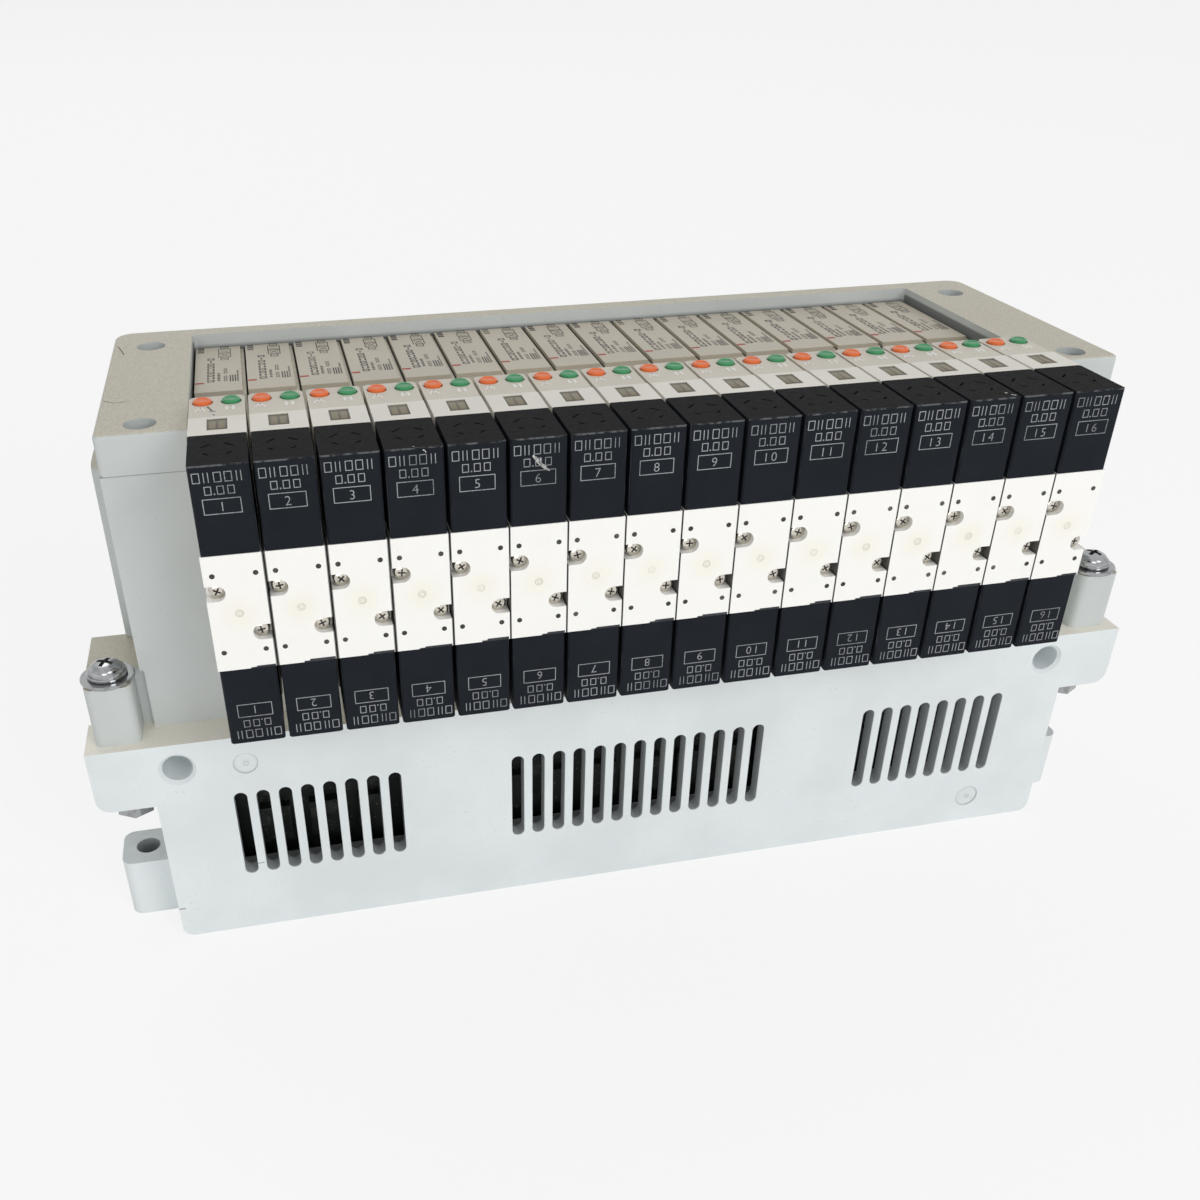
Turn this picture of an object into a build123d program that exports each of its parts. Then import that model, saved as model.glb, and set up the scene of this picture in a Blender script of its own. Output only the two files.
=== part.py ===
from build123d import *
import os
from math import radians, tan

# Pneumatic valve island: sixteen slim base-mounted valves side by side between two end
# blocks, on a vented electrical housing. Frame: +X along the row, the pilots face -Y,
# +Z up. The origin is on the ground, in the middle of the footprint.

# Row of valves
PITCH = 10.5
STATIONS = 16
ROW = PITCH * STATIONS
DEPTH = 100.0
FRONT = -DEPTH / 2

# Heights of the main levels
LEDGE = 50.0
TOP = LEDGE + 63.5
BLOCK_TOP = TOP - 2.5
PARTING = TOP - 10.3
LABEL_TOP = TOP - 5.3
VALVE_BOTTOM = TOP - 46.0
SHELF = LEDGE + 13.0

# Places along Y, counted back from the pilots' front face
COIL_BACK = FRONT + 14.1
LAMP_BACK = FRONT + 23.1
OVERRIDE_BACK = FRONT + 34.8
BODY_FRONT = FRONT + 53.4
RAIL_FRONT = FRONT + 84.6
BLOCK_FRONT = FRONT + 25.2
BLOCK_BACK = FRONT + 90.0
HOUSING_FRONT = FRONT + 17.4
HOUSING_BACK = FRONT + 88.0
BOSS_FRONT = FRONT + 19.7
HOLE_FRONT_Y = FRONT + 29.8
HOLE_BACK_Y = FRONT + 78.4

# Pilot stack on the front of each valve
COIL_WIDTH = 9.8
COIL_HEIGHT = 15.7
PLATE_WIDTH = 10.3
PLATE_TOP = TOP - 15.8
PLATE_BOTTOM = TOP - 37.9
COIL_BOTTOM = PLATE_BOTTOM - COIL_HEIGHT
COIL_EDGE = 0.3
VENT_RING = 2.7
NOTCH_RADIUS = 1.45
NOTCH_OFFSET = 3.25
NOTCH_DEPTH = 3.0
NOTCH_HIGH = TOP - 22.8
NOTCH_LOW = TOP - 30.9
PLATE_HOLE_RADIUS = 0.4
PLATE_HOLE_X = 3.6
PLATE_HOLE_Z = 7.4

# Spool section behind the overrides
GROOVE_DEPTH = 9.0
LABEL_THICKNESS = 0.8
PASSAGE_SPACING = 8.5
PASSAGE_RADIUS = 2.2
GASKET_THICKNESS = 1.0
GALLERY_RADIUS = 4.2

# Screw heads in the plates' notches
HEAD_RADIUS = 1.3
HEAD_HEIGHT = 1.5

# Manual override buttons
BUTTON_RADIUS = 1.65
BUTTON_BORE = 1.85
BUTTON_X = 2.55
BUTTON_Y = FRONT + 31.6
BUTTON_RISE = 0.6
BUTTON_TRAVEL = 1.0
STEM_RADIUS = 0.8
OVERRIDE_TOP = TOP - 0.2
OVERRIDE_CORNER = 1.2
DISH_RADIUS = 0.95
COVER_HEIGHT = 7.0

# Window and lamps in the white cover
WINDOW_HALF = 1.75
WINDOW_FRONT = FRONT + 16.4
WINDOW_BACK = FRONT + 22.2
LAMP_FLOOR = TOP - 5.0
LAMP_RADIUS = 0.8
LAMP_HEIGHT = 1.7
LENS_TOP = TOP - 0.5
LENS_THICKNESS = 1.0

# End blocks
BLOCK_INNER = ROW / 2 + 0.3
BLOCK_OUTER = ROW / 2 + 16.6
SIDE_PLATE = 0.8
TOP_HOLE_X = ROW / 2 + 8.6
TOP_HOLE_RADIUS = 2.95
CLAMP_X = ROW / 2 + 22.5
CLAMP_Y = BOSS_FRONT + 4.4
BOSS_HALF = 4.45
SCREW_RADIUS = 2.0
SCREW_CLEARANCE = 2.2
SCREW_HEAD_RADIUS = 4.0
SCREW_HEAD_HEIGHT = 2.9
SCREW_DOME = 1.9
SCREW_LENGTH = 35.4
WASHER_RADIUS = 4.7
SPRING_RADIUS = 3.6
FLAT_THICKNESS = 0.9
SPRING_THICKNESS = 1.0
NUT_ACROSS_FLATS = 7.0
NUT_HEIGHT = 3.2
END_COVER_THICKNESS = 3.4

# Vented housing
HOUSING_HALF = ROW / 2 + 17.5
EAR_HALF = ROW / 2 + 29.0
EAR_HEIGHT = 14.3
EAR_DEPTH = 11.0
WALL = 3.4
SIDE_WALL = 2.5
VENT_PITCH = 4.54
VENT_WIDTH = 2.75
VENT_LENGTH = 21.4
VENT_MIDDLE = 25.7
VENT_SHIFT = 0.4
VENT_GROUPS = [(-69.5, 8), (0.0, 13), (69.5, 8)]
SOCKET_X = ROW / 2 + 12.2
SOCKET_Z = LEDGE - 6.0
SOCKET_RADIUS = 3.0
SOCKET_DEPTH = 9.0
EJECTOR_MARKS = [(-82.9, LEDGE - 6.5, 2.5), (83.9, 7.2, 2.8)]
EJECTOR_DEPTH = 0.2

# Foot frame
FOOT_HEIGHT = 14.4
FOOT_HALF = ROW / 2 + 28.8
FOOT_LENGTH = 11.4
FOOT_HOLE_X = ROW / 2 + 23.4
FOOT_HOLE_RADIUS = 2.5
LUG_FRONT = FRONT + 32.6
LUG_BACK = LUG_FRONT + 50.0
TRAY_WALL = 3.0

# Tube fittings on the rear
PORT_HIGH = TOP - 26.0
PORT_LOW = TOP - 44.0
SEAT_DEPTH = 3.0
BORE_FLOOR = SEAT_DEPTH + 0.2
PORT_RADIUS = 4.3
PORT_SHANK = 3.6
PORT_COLLAR = 3.4
PORT_LENGTH = 12.0
TUBE_RADIUS = 2.05
SUPPLY_RADIUS = 6.2
SUPPLY_SHANK = 5.2
SUPPLY_COLLAR = 5.0
SUPPLY_LENGTH = 13.0
SUPPLY_TUBE_RADIUS = 3.1


def rect(x0, x1, y0, y1):
    """A rectangle between two corners."""
    return Pos((x0 + x1) / 2, (y0 + y1) / 2) * Rectangle(x1 - x0, y1 - y0)


def along_x(sketch, x0, x1):
    """Extrudes a Y-Z profile from x0 to x1."""
    return Pos(x0, 0, 0) * extrude(Plane.YZ * sketch, x1 - x0)


def along_y(sketch, y0, y1):
    """Extrudes an X-Z profile from y0 to y1."""
    return Pos(0, y1, 0) * extrude(Plane.XZ * sketch, y1 - y0)


def along_z(sketch, z0, z1):
    """Extrudes an X-Y profile from z0 to z1."""
    return Pos(0, 0, z0) * extrude(Plane.XY * sketch, z1 - z0)


def rod_y(x, z, radius, y0, y1):
    """A round bar along Y."""
    return along_y(Pos(x, z) * Circle(radius), y0, y1)


def rod_z(x, y, radius, z0, z1):
    """A round bar along Z."""
    return along_z(Pos(x, y) * Circle(radius), z0, z1)


def polygon(*points):
    """A flat face with straight sides."""
    return make_face(Polyline(*points, close=True))


def turned(*points):
    """A solid of revolution about Z from its half section (radius, height)."""
    return revolve(Plane.XZ * polygon(*points), Axis.Z)


def mirrored(solid):
    """The same piece on the other end of the row."""
    return mirror(solid, Plane.YZ)


def station_x(index):
    """Centre of one valve station, counted from the left."""
    return (index - (STATIONS - 1) / 2) * PITCH


def row_of(solid):
    """One copy of a piece at every station, as separate solids."""
    return [Pos(station_x(i), 0, 0) * solid for i in range(STATIONS)]


def in_corners(x, y0, y1):
    """The four places of a pattern that is symmetric about the middle."""
    return [(sx * x, y) for sx in (-1, 1) for y in (y0, y1)]


# ---------------------------------------------------------------- valves


def coil(bottom):
    """One coil case, with its long edges broken."""
    profile = rect(-COIL_WIDTH / 2, COIL_WIDTH / 2, FRONT, COIL_BACK)
    return along_z(chamfer(profile.vertices(), COIL_EDGE), bottom, bottom + COIL_HEIGHT)


def upper_coil():
    """Upper coil: four narrow slots lie round the ring on its top."""
    body = coil(PLATE_TOP + 0.1)
    middle = (FRONT + COIL_BACK) / 2
    for angle, length in ((45, 2.1), (135, 2.1), (225, 1.3), (315, 1.3)):
        slot = Rot(0, 0, angle) * Pos(VENT_RING, 0) * Rectangle(0.4, length)
        body -= along_z(Pos(0, middle) * slot, TOP - 0.7, TOP + 1)
    return body


def lower_coil():
    """Lower coil: the same case upside down, with its bottom rim broken."""
    body = coil(COIL_BOTTOM)
    return chamfer(body.edges().sort_by(Axis.Z)[:8], COIL_EDGE)


def pilot_plate():
    """White plate between the coils: two side notches for its screws, four small holes."""
    half = PLATE_WIDTH / 2
    profile = rect(-half, half, PLATE_BOTTOM, PLATE_TOP)
    body = along_y(profile, FRONT, COIL_BACK)
    for side, z in ((-1, NOTCH_HIGH), (1, NOTCH_LOW)):
        low, high = sorted((side * NOTCH_OFFSET, side * (half + 1)))
        notch = rect(low, high, z - NOTCH_RADIUS, z + NOTCH_RADIUS)
        notch += Pos(side * NOTCH_OFFSET, z) * Circle(NOTCH_RADIUS)
        body -= along_y(notch, FRONT - 1, FRONT + NOTCH_DEPTH)
    middle = (PLATE_TOP + PLATE_BOTTOM) / 2
    for x in (-PLATE_HOLE_X, PLATE_HOLE_X):
        for z in (middle - PLATE_HOLE_Z, middle + PLATE_HOLE_Z):
            body -= rod_y(x, z, PLATE_HOLE_RADIUS, FRONT - 1, FRONT + 0.8)
    return body


def plate_screws():
    """The two screw heads that sit on the floors of one plate's notches."""
    edge = HEAD_RADIUS - 0.4
    shoulder = HEAD_HEIGHT - 0.4
    head = turned(
        (0, 0),
        (HEAD_RADIUS, 0),
        (HEAD_RADIUS, shoulder),
        (edge, HEAD_HEIGHT),
        (0, HEAD_HEIGHT),
    )
    floor = FRONT + NOTCH_DEPTH
    places = ((-NOTCH_OFFSET, NOTCH_HIGH), (NOTCH_OFFSET, NOTCH_LOW))
    return [Pos(x, floor, z) * Rot(90, 0, 0) * head for x, z in places]


def valve_body():
    """Valve body: pilot section behind the coils, a groove, then the long spool section."""
    groove_floor = LABEL_TOP - GROOVE_DEPTH
    body_top = LABEL_TOP - LABEL_THICKNESS
    section = polygon(
        (COIL_BACK, COIL_BOTTOM + 1),
        (COIL_BACK, TOP - COVER_HEIGHT),
        (OVERRIDE_BACK, TOP - COVER_HEIGHT),
        (OVERRIDE_BACK, groove_floor),
        (BODY_FRONT, groove_floor),
        (BODY_FRONT, body_top),
        (RAIL_FRONT, body_top),
        (RAIL_FRONT, VALVE_BOTTOM),
        (OVERRIDE_BACK, VALVE_BOTTOM),
        (OVERRIDE_BACK, COIL_BOTTOM + 1),
    )
    return along_x(section, -PITCH / 2 + 0.15, PITCH / 2 - 0.15)


def label_plate():
    """Thin name plate on top of the spool section."""
    plan = rect(-PITCH / 2 + 0.2, PITCH / 2 - 0.9, BODY_FRONT, RAIL_FRONT - 0.6)
    return along_z(plan, LABEL_TOP - LABEL_THICKNESS, LABEL_TOP)


def gasket():
    """Flat gasket between a valve body and the manifold, pierced for its five passages."""
    half = PITCH / 2 - 0.65
    plan = rect(-half, half, OVERRIDE_BACK + 2, RAIL_FRONT - 1)
    middle = (OVERRIDE_BACK + RAIL_FRONT) / 2
    for k in range(-2, 3):
        plan -= Pos(0, middle + k * PASSAGE_SPACING) * Circle(PASSAGE_RADIUS)
    return along_z(plan, VALVE_BOTTOM - GASKET_THICKNESS, VALVE_BOTTOM)


def lamp_cover():
    """White cover over the lamps, with a stepped window opening."""
    half = PITCH / 2 - 0.3
    body = along_z(rect(-half, half, COIL_BACK, LAMP_BACK), TOP - COVER_HEIGHT, TOP)
    window = rect(-WINDOW_HALF, WINDOW_HALF, WINDOW_FRONT, WINDOW_BACK)
    return body - along_z(window, LAMP_FLOOR, TOP + 1)


def window_lens():
    """Clear lens that closes the window a little below the cover's top."""
    window = rect(-WINDOW_HALF, WINDOW_HALF, WINDOW_FRONT, WINDOW_BACK)
    return along_z(window, LENS_TOP - LENS_THICKNESS, LENS_TOP)


def lamps():
    """The two lamps of one station, under the lens."""
    tip = LAMP_RADIUS / 2
    shape = turned(
        (0, 0),
        (LAMP_RADIUS, 0),
        (LAMP_RADIUS, LAMP_HEIGHT - 0.5),
        (tip, LAMP_HEIGHT),
        (0, LAMP_HEIGHT),
    )
    return [Pos(0, y, LAMP_FLOOR) * shape for y in (WINDOW_FRONT + 1.5, WINDOW_BACK - 1.5)]


def override_plate():
    """Grey plate behind the lamp cover, with a stepped bore for each button."""
    half = PITCH / 2 - 0.3
    plan = rect(-half, half, LAMP_BACK, OVERRIDE_BACK)
    plan = fillet(plan.vertices().group_by(Axis.Y)[-1], OVERRIDE_CORNER)
    body = along_z(plan, TOP - COVER_HEIGHT, OVERRIDE_TOP)
    for x in (-BUTTON_X, BUTTON_X):
        body -= rod_z(x, BUTTON_Y, BUTTON_BORE, OVERRIDE_TOP - 2.6, OVERRIDE_TOP + 1)
        body -= rod_z(x, BUTTON_Y, STEM_RADIUS + 0.3, OVERRIDE_TOP - 6, OVERRIDE_TOP)
    return body


def override_button():
    """One button: a head with a broken rim and a shallow dish, on a thin stem."""
    top = BUTTON_RISE
    dish = top - 0.15
    return turned(
        (0, -4.4),
        (STEM_RADIUS, -4.4),
        (STEM_RADIUS, -1.2),
        (BUTTON_RADIUS, -1.2),
        (BUTTON_RADIUS, top - 0.25),
        (BUTTON_RADIUS - 0.25, top),
        (DISH_RADIUS + 0.15, top),
        (DISH_RADIUS, dish),
        (0, dish),
    )


# ---------------------------------------------------------------- manifold and ends


def manifold_base():
    """Manifold bar under the valves, stepped down under the pilot sections."""
    section = polygon(
        (BLOCK_FRONT, LEDGE),
        (BLOCK_FRONT, COIL_BOTTOM - 2),
        (OVERRIDE_BACK + 0.4, COIL_BOTTOM - 2),
        (OVERRIDE_BACK + 0.4, VALVE_BOTTOM - GASKET_THICKNESS),
        (RAIL_FRONT, VALVE_BOTTOM - GASKET_THICKNESS),
        (RAIL_FRONT, LEDGE),
    )
    bar = along_x(section, -ROW / 2, ROW / 2)
    spacing = 1.6 * PASSAGE_SPACING
    middle = (OVERRIDE_BACK + RAIL_FRONT) / 2
    for k in (-1, 0, 1):
        gallery = Pos(middle + k * spacing, LEDGE + 7.5) * Circle(GALLERY_RADIUS)
        bar -= along_x(gallery, -ROW / 2, ROW / 2)
    return bar


def port_block():
    """Upright block behind the valves that carries two rows of tube fittings."""
    face = rect(-ROW / 2, ROW / 2, LEDGE, PARTING)
    body = along_y(face, RAIL_FRONT, BLOCK_BACK)
    for i in range(STATIONS):
        for z in (PORT_HIGH, PORT_LOW):
            body -= rod_y(station_x(i), z, PORT_SHANK, BLOCK_BACK - SEAT_DEPTH, BLOCK_BACK)
    return body


def fitting(shank, shoulder, tube, collar, length):
    """One push-in fitting, shank first: its shoulder, its release collar and its bore."""
    neck = tube + 0.7
    flange = length - 1
    mouth = length - 2
    body = turned(
        (tube, BORE_FLOOR),
        (tube, length),
        (collar, length),
        (collar, flange),
        (neck, flange),
        (neck, mouth),
        (shoulder - 0.5, mouth),
        (shoulder, mouth - 0.5),
        (shoulder, SEAT_DEPTH),
        (shank, SEAT_DEPTH),
        (shank, 0),
        (0, 0),
        (0, BORE_FLOOR),
    )
    return Rot(-90, 0, 0) * body


def port_fittings():
    """Two rows of small fittings, one pair for each station."""
    shape = fitting(PORT_SHANK, PORT_RADIUS, TUBE_RADIUS, PORT_COLLAR, PORT_LENGTH)
    places = [(station_x(i), z) for i in range(STATIONS) for z in (PORT_HIGH, PORT_LOW)]
    return [Pos(x, BLOCK_BACK - SEAT_DEPTH, z) * shape for x, z in places]


def supply_fittings():
    """Larger fittings for supply and exhaust, two on each end block."""
    shape = fitting(
        SUPPLY_SHANK, SUPPLY_RADIUS, SUPPLY_TUBE_RADIUS, SUPPLY_COLLAR, SUPPLY_LENGTH
    )
    places = [(sx * TOP_HOLE_X, z) for sx in (-1, 1) for z in (PORT_HIGH, PORT_LOW)]
    return [Pos(x, BLOCK_BACK - SEAT_DEPTH, z) * shape for x, z in places]


def top_frame():
    """U-shaped top frame: both end caps and the rear rail in one moulding."""
    plan = rect(-BLOCK_OUTER, BLOCK_OUTER, BLOCK_FRONT, BLOCK_BACK)
    plan = fillet(plan.vertices().group_by(Axis.Y)[-1], 4.0)
    plan = fillet(plan.vertices().group_by(Axis.Y)[0], 1.0)
    body = along_z(plan, PARTING, BLOCK_TOP)
    body = fillet(body.faces().sort_by(Axis.Z)[-1].edges(), 0.8)
    bay = rect(-BLOCK_INNER, BLOCK_INNER, BLOCK_FRONT - 5, RAIL_FRONT + 0.3)
    bay = fillet(bay.vertices().group_by(Axis.Y)[-1], 1.2)
    body -= along_z(bay, PARTING - 1, BLOCK_TOP + 1)
    for x, y in in_corners(TOP_HOLE_X, HOLE_FRONT_Y, HOLE_BACK_Y):
        body -= rod_z(x, y, TOP_HOLE_RADIUS, PARTING - 1, BLOCK_TOP + 1)
    return body


def end_block():
    """Right end block: upright body with its clamping boss, a flange and two bolt holes."""
    outer = BLOCK_OUTER - SIDE_PLATE
    plan = rect(BLOCK_INNER, outer, BLOCK_FRONT, BLOCK_BACK)
    body = along_z(plan, LEDGE, PARTING)
    body += clamp_boss()
    for y in (HOLE_FRONT_Y, HOLE_BACK_Y):
        body -= rod_z(TOP_HOLE_X, y, TOP_HOLE_RADIUS, LEDGE + 2, PARTING + 1)
    for z in (PORT_HIGH, PORT_LOW):
        body -= rod_y(TOP_HOLE_X, z, SUPPLY_SHANK, BLOCK_BACK - SEAT_DEPTH, BLOCK_BACK + 1)
    return body


def clamp_boss():
    """Boss that the clamping screw bears on, with the flange that ties it to the block."""
    inner = CLAMP_X - BOSS_HALF
    outer = CLAMP_X + BOSS_HALF
    post = rect(inner, outer, BOSS_FRONT, BLOCK_FRONT + 4)
    post = fillet(post.vertices().group_by(Axis.Y)[0], 1.6)
    flange = rect(BLOCK_OUTER - 2, outer, BLOCK_FRONT + 2, BLOCK_FRONT + 16)
    boss = along_z(post, LEDGE, SHELF) + along_z(flange, LEDGE, SHELF)
    return boss - rod_z(CLAMP_X, CLAMP_Y, SCREW_CLEARANCE, LEDGE - 1, SHELF + 1)


def side_plate():
    """Thin plate on the outside of the right end block, above the flange."""
    face = rect(BLOCK_FRONT, BLOCK_BACK, SHELF, PARTING)
    return along_x(face, BLOCK_OUTER - SIDE_PLATE, BLOCK_OUTER)


def end_cover():
    """Cover over the air passages on the outside of the right end block."""
    face = rect(FRONT + 40, FRONT + 86, SHELF, PARTING - 3)
    face = fillet(face.vertices().group_by(Axis.Y)[-1], 2.0)
    return along_x(face, BLOCK_OUTER, BLOCK_OUTER + END_COVER_THICKNESS)


# ---------------------------------------------------------------- clamping hardware


def clamp_screw():
    """Clamping screw with a domed head and a cross recess; its end shows under the nut."""
    seat = SHELF + FLAT_THICKNESS + SPRING_THICKNESS
    head_top = seat + SCREW_HEAD_HEIGHT
    head = along_z(Circle(SCREW_HEAD_RADIUS), seat, head_top)
    head = fillet(head.edges().sort_by(Axis.Z)[-1], SCREW_DOME)
    shank = along_z(Circle(SCREW_RADIUS), head_top - SCREW_LENGTH, seat)
    cross = Rectangle(3.6, 0.9) + Rectangle(0.9, 3.6)
    screw = head + shank - along_z(cross, head_top - 1.6, head_top + 1)
    return Pos(CLAMP_X, CLAMP_Y, 0) * screw


def clamp_washers():
    """Flat washer and spring washer under the head, and a spring washer over the nut."""
    hole = Circle(SCREW_RADIUS + 0.15)
    flat = Circle(WASHER_RADIUS) - hole
    spring = Circle(SPRING_RADIUS) - hole
    flat_top = SHELF + FLAT_THICKNESS
    ear_bottom = LEDGE - EAR_HEIGHT
    stack = [
        along_z(flat, SHELF, flat_top),
        along_z(spring, flat_top, flat_top + SPRING_THICKNESS),
        along_z(spring, ear_bottom - SPRING_THICKNESS, ear_bottom),
    ]
    return [Pos(CLAMP_X, CLAMP_Y, 0) * piece for piece in stack]


def clamp_nut():
    """Hexagon nut under the housing's ear, a flat facing the front."""
    plan = RegularPolygon(NUT_ACROSS_FLATS / 2, 6, major_radius=False)
    plan = Rot(0, 0, 30) * plan - Circle(SCREW_RADIUS)
    nut_top = LEDGE - EAR_HEIGHT - SPRING_THICKNESS
    return Pos(CLAMP_X, CLAMP_Y, 0) * along_z(plan, nut_top - NUT_HEIGHT, nut_top)


# ---------------------------------------------------------------- housing


def housing_outline():
    """Front view of the housing: a wide panel with an ear at each upper corner."""
    panel = rect(-HOUSING_HALF, HOUSING_HALF, 0, LEDGE)
    panel = fillet(panel.vertices().group_by(Axis.Y)[0], 2.5)
    ears = rect(-EAR_HALF, EAR_HALF, LEDGE - EAR_HEIGHT, LEDGE)
    ears = fillet(ears.vertices().group_by(Axis.Y)[0], 3.0)
    return panel + ears


def vent_slots():
    """Upright round-ended slots in three groups, through the front wall."""
    slot = SlotOverall(VENT_LENGTH, VENT_WIDTH, rotation=90)
    slots = Sketch()
    for centre, count in VENT_GROUPS:
        for k in range(count):
            x = centre + VENT_SHIFT + (k - (count - 1) / 2) * VENT_PITCH
            slots += Pos(x, VENT_MIDDLE) * slot
    return along_y(slots, HOUSING_FRONT - 1, HOUSING_FRONT + WALL + 1)


def socket_cutter():
    """Blind round socket with a countersunk mouth, along Y."""
    mouth = SOCKET_RADIUS + 0.7
    shape = turned(
        (0, -1),
        (mouth, -1),
        (mouth, 0),
        (SOCKET_RADIUS, 0.7),
        (SOCKET_RADIUS, SOCKET_DEPTH),
        (0, SOCKET_DEPTH),
    )
    return Pos(0, HOUSING_FRONT, SOCKET_Z) * Rot(-90, 0, 0) * shape


def front_housing():
    """Hollow vented housing: slotted front panel, ears, roof, sides and rear wall."""
    outline = housing_outline()
    body = along_y(outline, HOUSING_FRONT, HOUSING_FRONT + WALL)
    box = rect(-HOUSING_HALF, HOUSING_HALF, FOOT_HEIGHT, LEDGE)
    inside = rect(-HOUSING_HALF + SIDE_WALL, HOUSING_HALF - SIDE_WALL, 0, LEDGE - SIDE_WALL)
    body += along_y(box - inside, HOUSING_FRONT + WALL, HOUSING_BACK - SIDE_WALL)
    body += along_y(box, HOUSING_BACK - SIDE_WALL, HOUSING_BACK)
    for side in (-1, 1):
        low, high = sorted((side * (HOUSING_HALF - 0.5), side * EAR_HALF))
        ear = rect(low, high, LEDGE - EAR_HEIGHT, LEDGE)
        outer = ear.vertices().group_by(Axis.Y)[0].sort_by(Axis.X)[0 if side < 0 else -1]
        ear = fillet(outer, 3.0)
        body += along_y(ear, HOUSING_FRONT + 1, HOUSING_FRONT + EAR_DEPTH)
        body -= rod_z(side * CLAMP_X, CLAMP_Y, SCREW_CLEARANCE, 0, LEDGE + 1)
        cup_back = HOUSING_FRONT + SOCKET_DEPTH + 1.5
        body += rod_y(side * SOCKET_X, SOCKET_Z, SOCKET_RADIUS + 1.8, HOUSING_FRONT + 1, cup_back)
        body -= Pos(side * SOCKET_X, 0, 0) * socket_cutter()
    body -= vent_slots()
    for x, z, radius in EJECTOR_MARKS:
        body -= rod_y(x, z, radius, HOUSING_FRONT - 1, HOUSING_FRONT + EJECTOR_DEPTH)
    body -= connector_opening()
    wiring = rect(-70, 70, OVERRIDE_BACK + 8, OVERRIDE_BACK + 16)
    return body - along_z(wiring, LEDGE - SIDE_WALL - 1, LEDGE + 1)


def foot_frame():
    """Bottom tray with four lugs for the fixing bolts."""
    front = HOUSING_FRONT + WALL
    plan = rect(-HOUSING_HALF, HOUSING_HALF, front, HOUSING_BACK)
    inner = HOUSING_HALF - TRAY_WALL
    hollow = rect(-inner, inner, front + TRAY_WALL, HOUSING_BACK - TRAY_WALL)
    body = along_z(plan, 0, FOOT_HEIGHT) - along_z(hollow, TRAY_WALL, FOOT_HEIGHT + 1)
    lug = rect(-FOOT_HALF, FOOT_HALF, -FOOT_LENGTH / 2, FOOT_LENGTH / 2)
    lug = fillet(lug.vertices(), 2.5)
    lug -= rect(-HOUSING_HALF + 1, HOUSING_HALF - 1, -FOOT_LENGTH, FOOT_LENGTH)
    for y in (LUG_FRONT, LUG_BACK):
        body += Pos(0, y, 0) * along_z(lug, 0, FOOT_HEIGHT)
    for x, y in in_corners(FOOT_HOLE_X, LUG_FRONT, LUG_BACK):
        body -= rod_z(x, y, FOOT_HOLE_RADIUS, -1, FOOT_HEIGHT + 1)
    return body


# ---------------------------------------------------------------- electrics

CONNECTOR_Z = 32.0
SHELL_SIZE = (38.6, 8.0)
SHELL_WALL = 0.6
SHELL_BACK = HOUSING_BACK + 6.8
POST_X = 23.5
CONTACT_PITCH = 2.77
CONTACT_ROWS = [(13, 1.42), (12, -1.42)]
BOARD_FRONT = HOUSING_FRONT + WALL + 7.5
BOARD_THICKNESS = 1.6


def d_outline(width, height):
    """D-shaped outline of the multi-pole connector."""
    lean = tan(radians(10)) * height / 2
    half = width / 2
    face = polygon(
        (-half - lean, height / 2),
        (half + lean, height / 2),
        (half - lean, -height / 2),
        (-half + lean, -height / 2),
    )
    return fillet(face.vertices(), 1.8)


def connector_opening():
    """Opening in the rear wall for the connector's shell."""
    width, height = SHELL_SIZE
    place = Pos(0, CONNECTOR_Z) * d_outline(width + 2.4, height + 2.6)
    return along_y(place, HOUSING_BACK - 4, HOUSING_BACK + 1)


def connector_core():
    """Outline of the space inside the connector's shell."""
    width, height = SHELL_SIZE
    return Pos(0, CONNECTOR_Z) * d_outline(width - 2 * SHELL_WALL, height - 2 * SHELL_WALL)


def connector_shell():
    """Multi-pole socket: metal flange and D-shaped shell, with two round jack posts."""
    flange = Pos(0, CONNECTOR_Z) * fillet(Rectangle(53, 12.5).vertices(), 1.0)
    nose = Pos(0, CONNECTOR_Z) * d_outline(*SHELL_SIZE)
    body = along_y(flange, HOUSING_BACK, HOUSING_BACK + 1.2)
    body += along_y(nose, HOUSING_BACK - 3, SHELL_BACK)
    body -= along_y(connector_core(), HOUSING_BACK - 4, SHELL_BACK + 1)
    for x in (-POST_X, POST_X):
        body += rod_y(x, CONNECTOR_Z, 2.5, HOUSING_BACK + 1, HOUSING_BACK + 6)
        body -= rod_y(x, CONNECTOR_Z, 1.3, HOUSING_BACK + 2, HOUSING_BACK + 7)
    return body


def connector_insert():
    """Insulating insert with its two rows of contact holes."""
    holes = Sketch()
    for count, rise in CONTACT_ROWS:
        for k in range(count):
            x = (k - (count - 1) / 2) * CONTACT_PITCH
            holes += Pos(x, CONNECTOR_Z + rise) * Rectangle(1.0, 1.0)
    body = along_y(connector_core(), HOUSING_BACK - 3, SHELL_BACK - 0.5)
    return body - along_y(holes, HOUSING_BACK + 3, SHELL_BACK)


def circuit_board():
    """Driver board behind the vents, with its chips and round capacitors soldered on."""
    face = rect(-92, 92, 6, LEDGE - SIDE_WALL - 1)
    board = along_y(face, BOARD_FRONT, BOARD_FRONT + BOARD_THICKNESS)
    for i in range(STATIONS):
        chip = rect(station_x(i) - 3.2, station_x(i) + 3.2, 16, 25)
        board += along_y(chip, BOARD_FRONT - 2.2, BOARD_FRONT)
    for i in range(0, STATIONS, 2):
        board += rod_y(station_x(i), 33, 2.6, BOARD_FRONT - 5, BOARD_FRONT)
    return board


def button_nodes():
    """Every override button by name: a is the left one of a station, b the right one."""
    nodes = {}
    for letter, side in (("a", -1), ("b", 1)):
        for i in range(STATIONS):
            place = Pos(station_x(i) + side * BUTTON_X, BUTTON_Y, OVERRIDE_TOP)
            nodes[f"override_{letter}_{i + 1:02d}"] = place * override_button()
    return nodes


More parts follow.
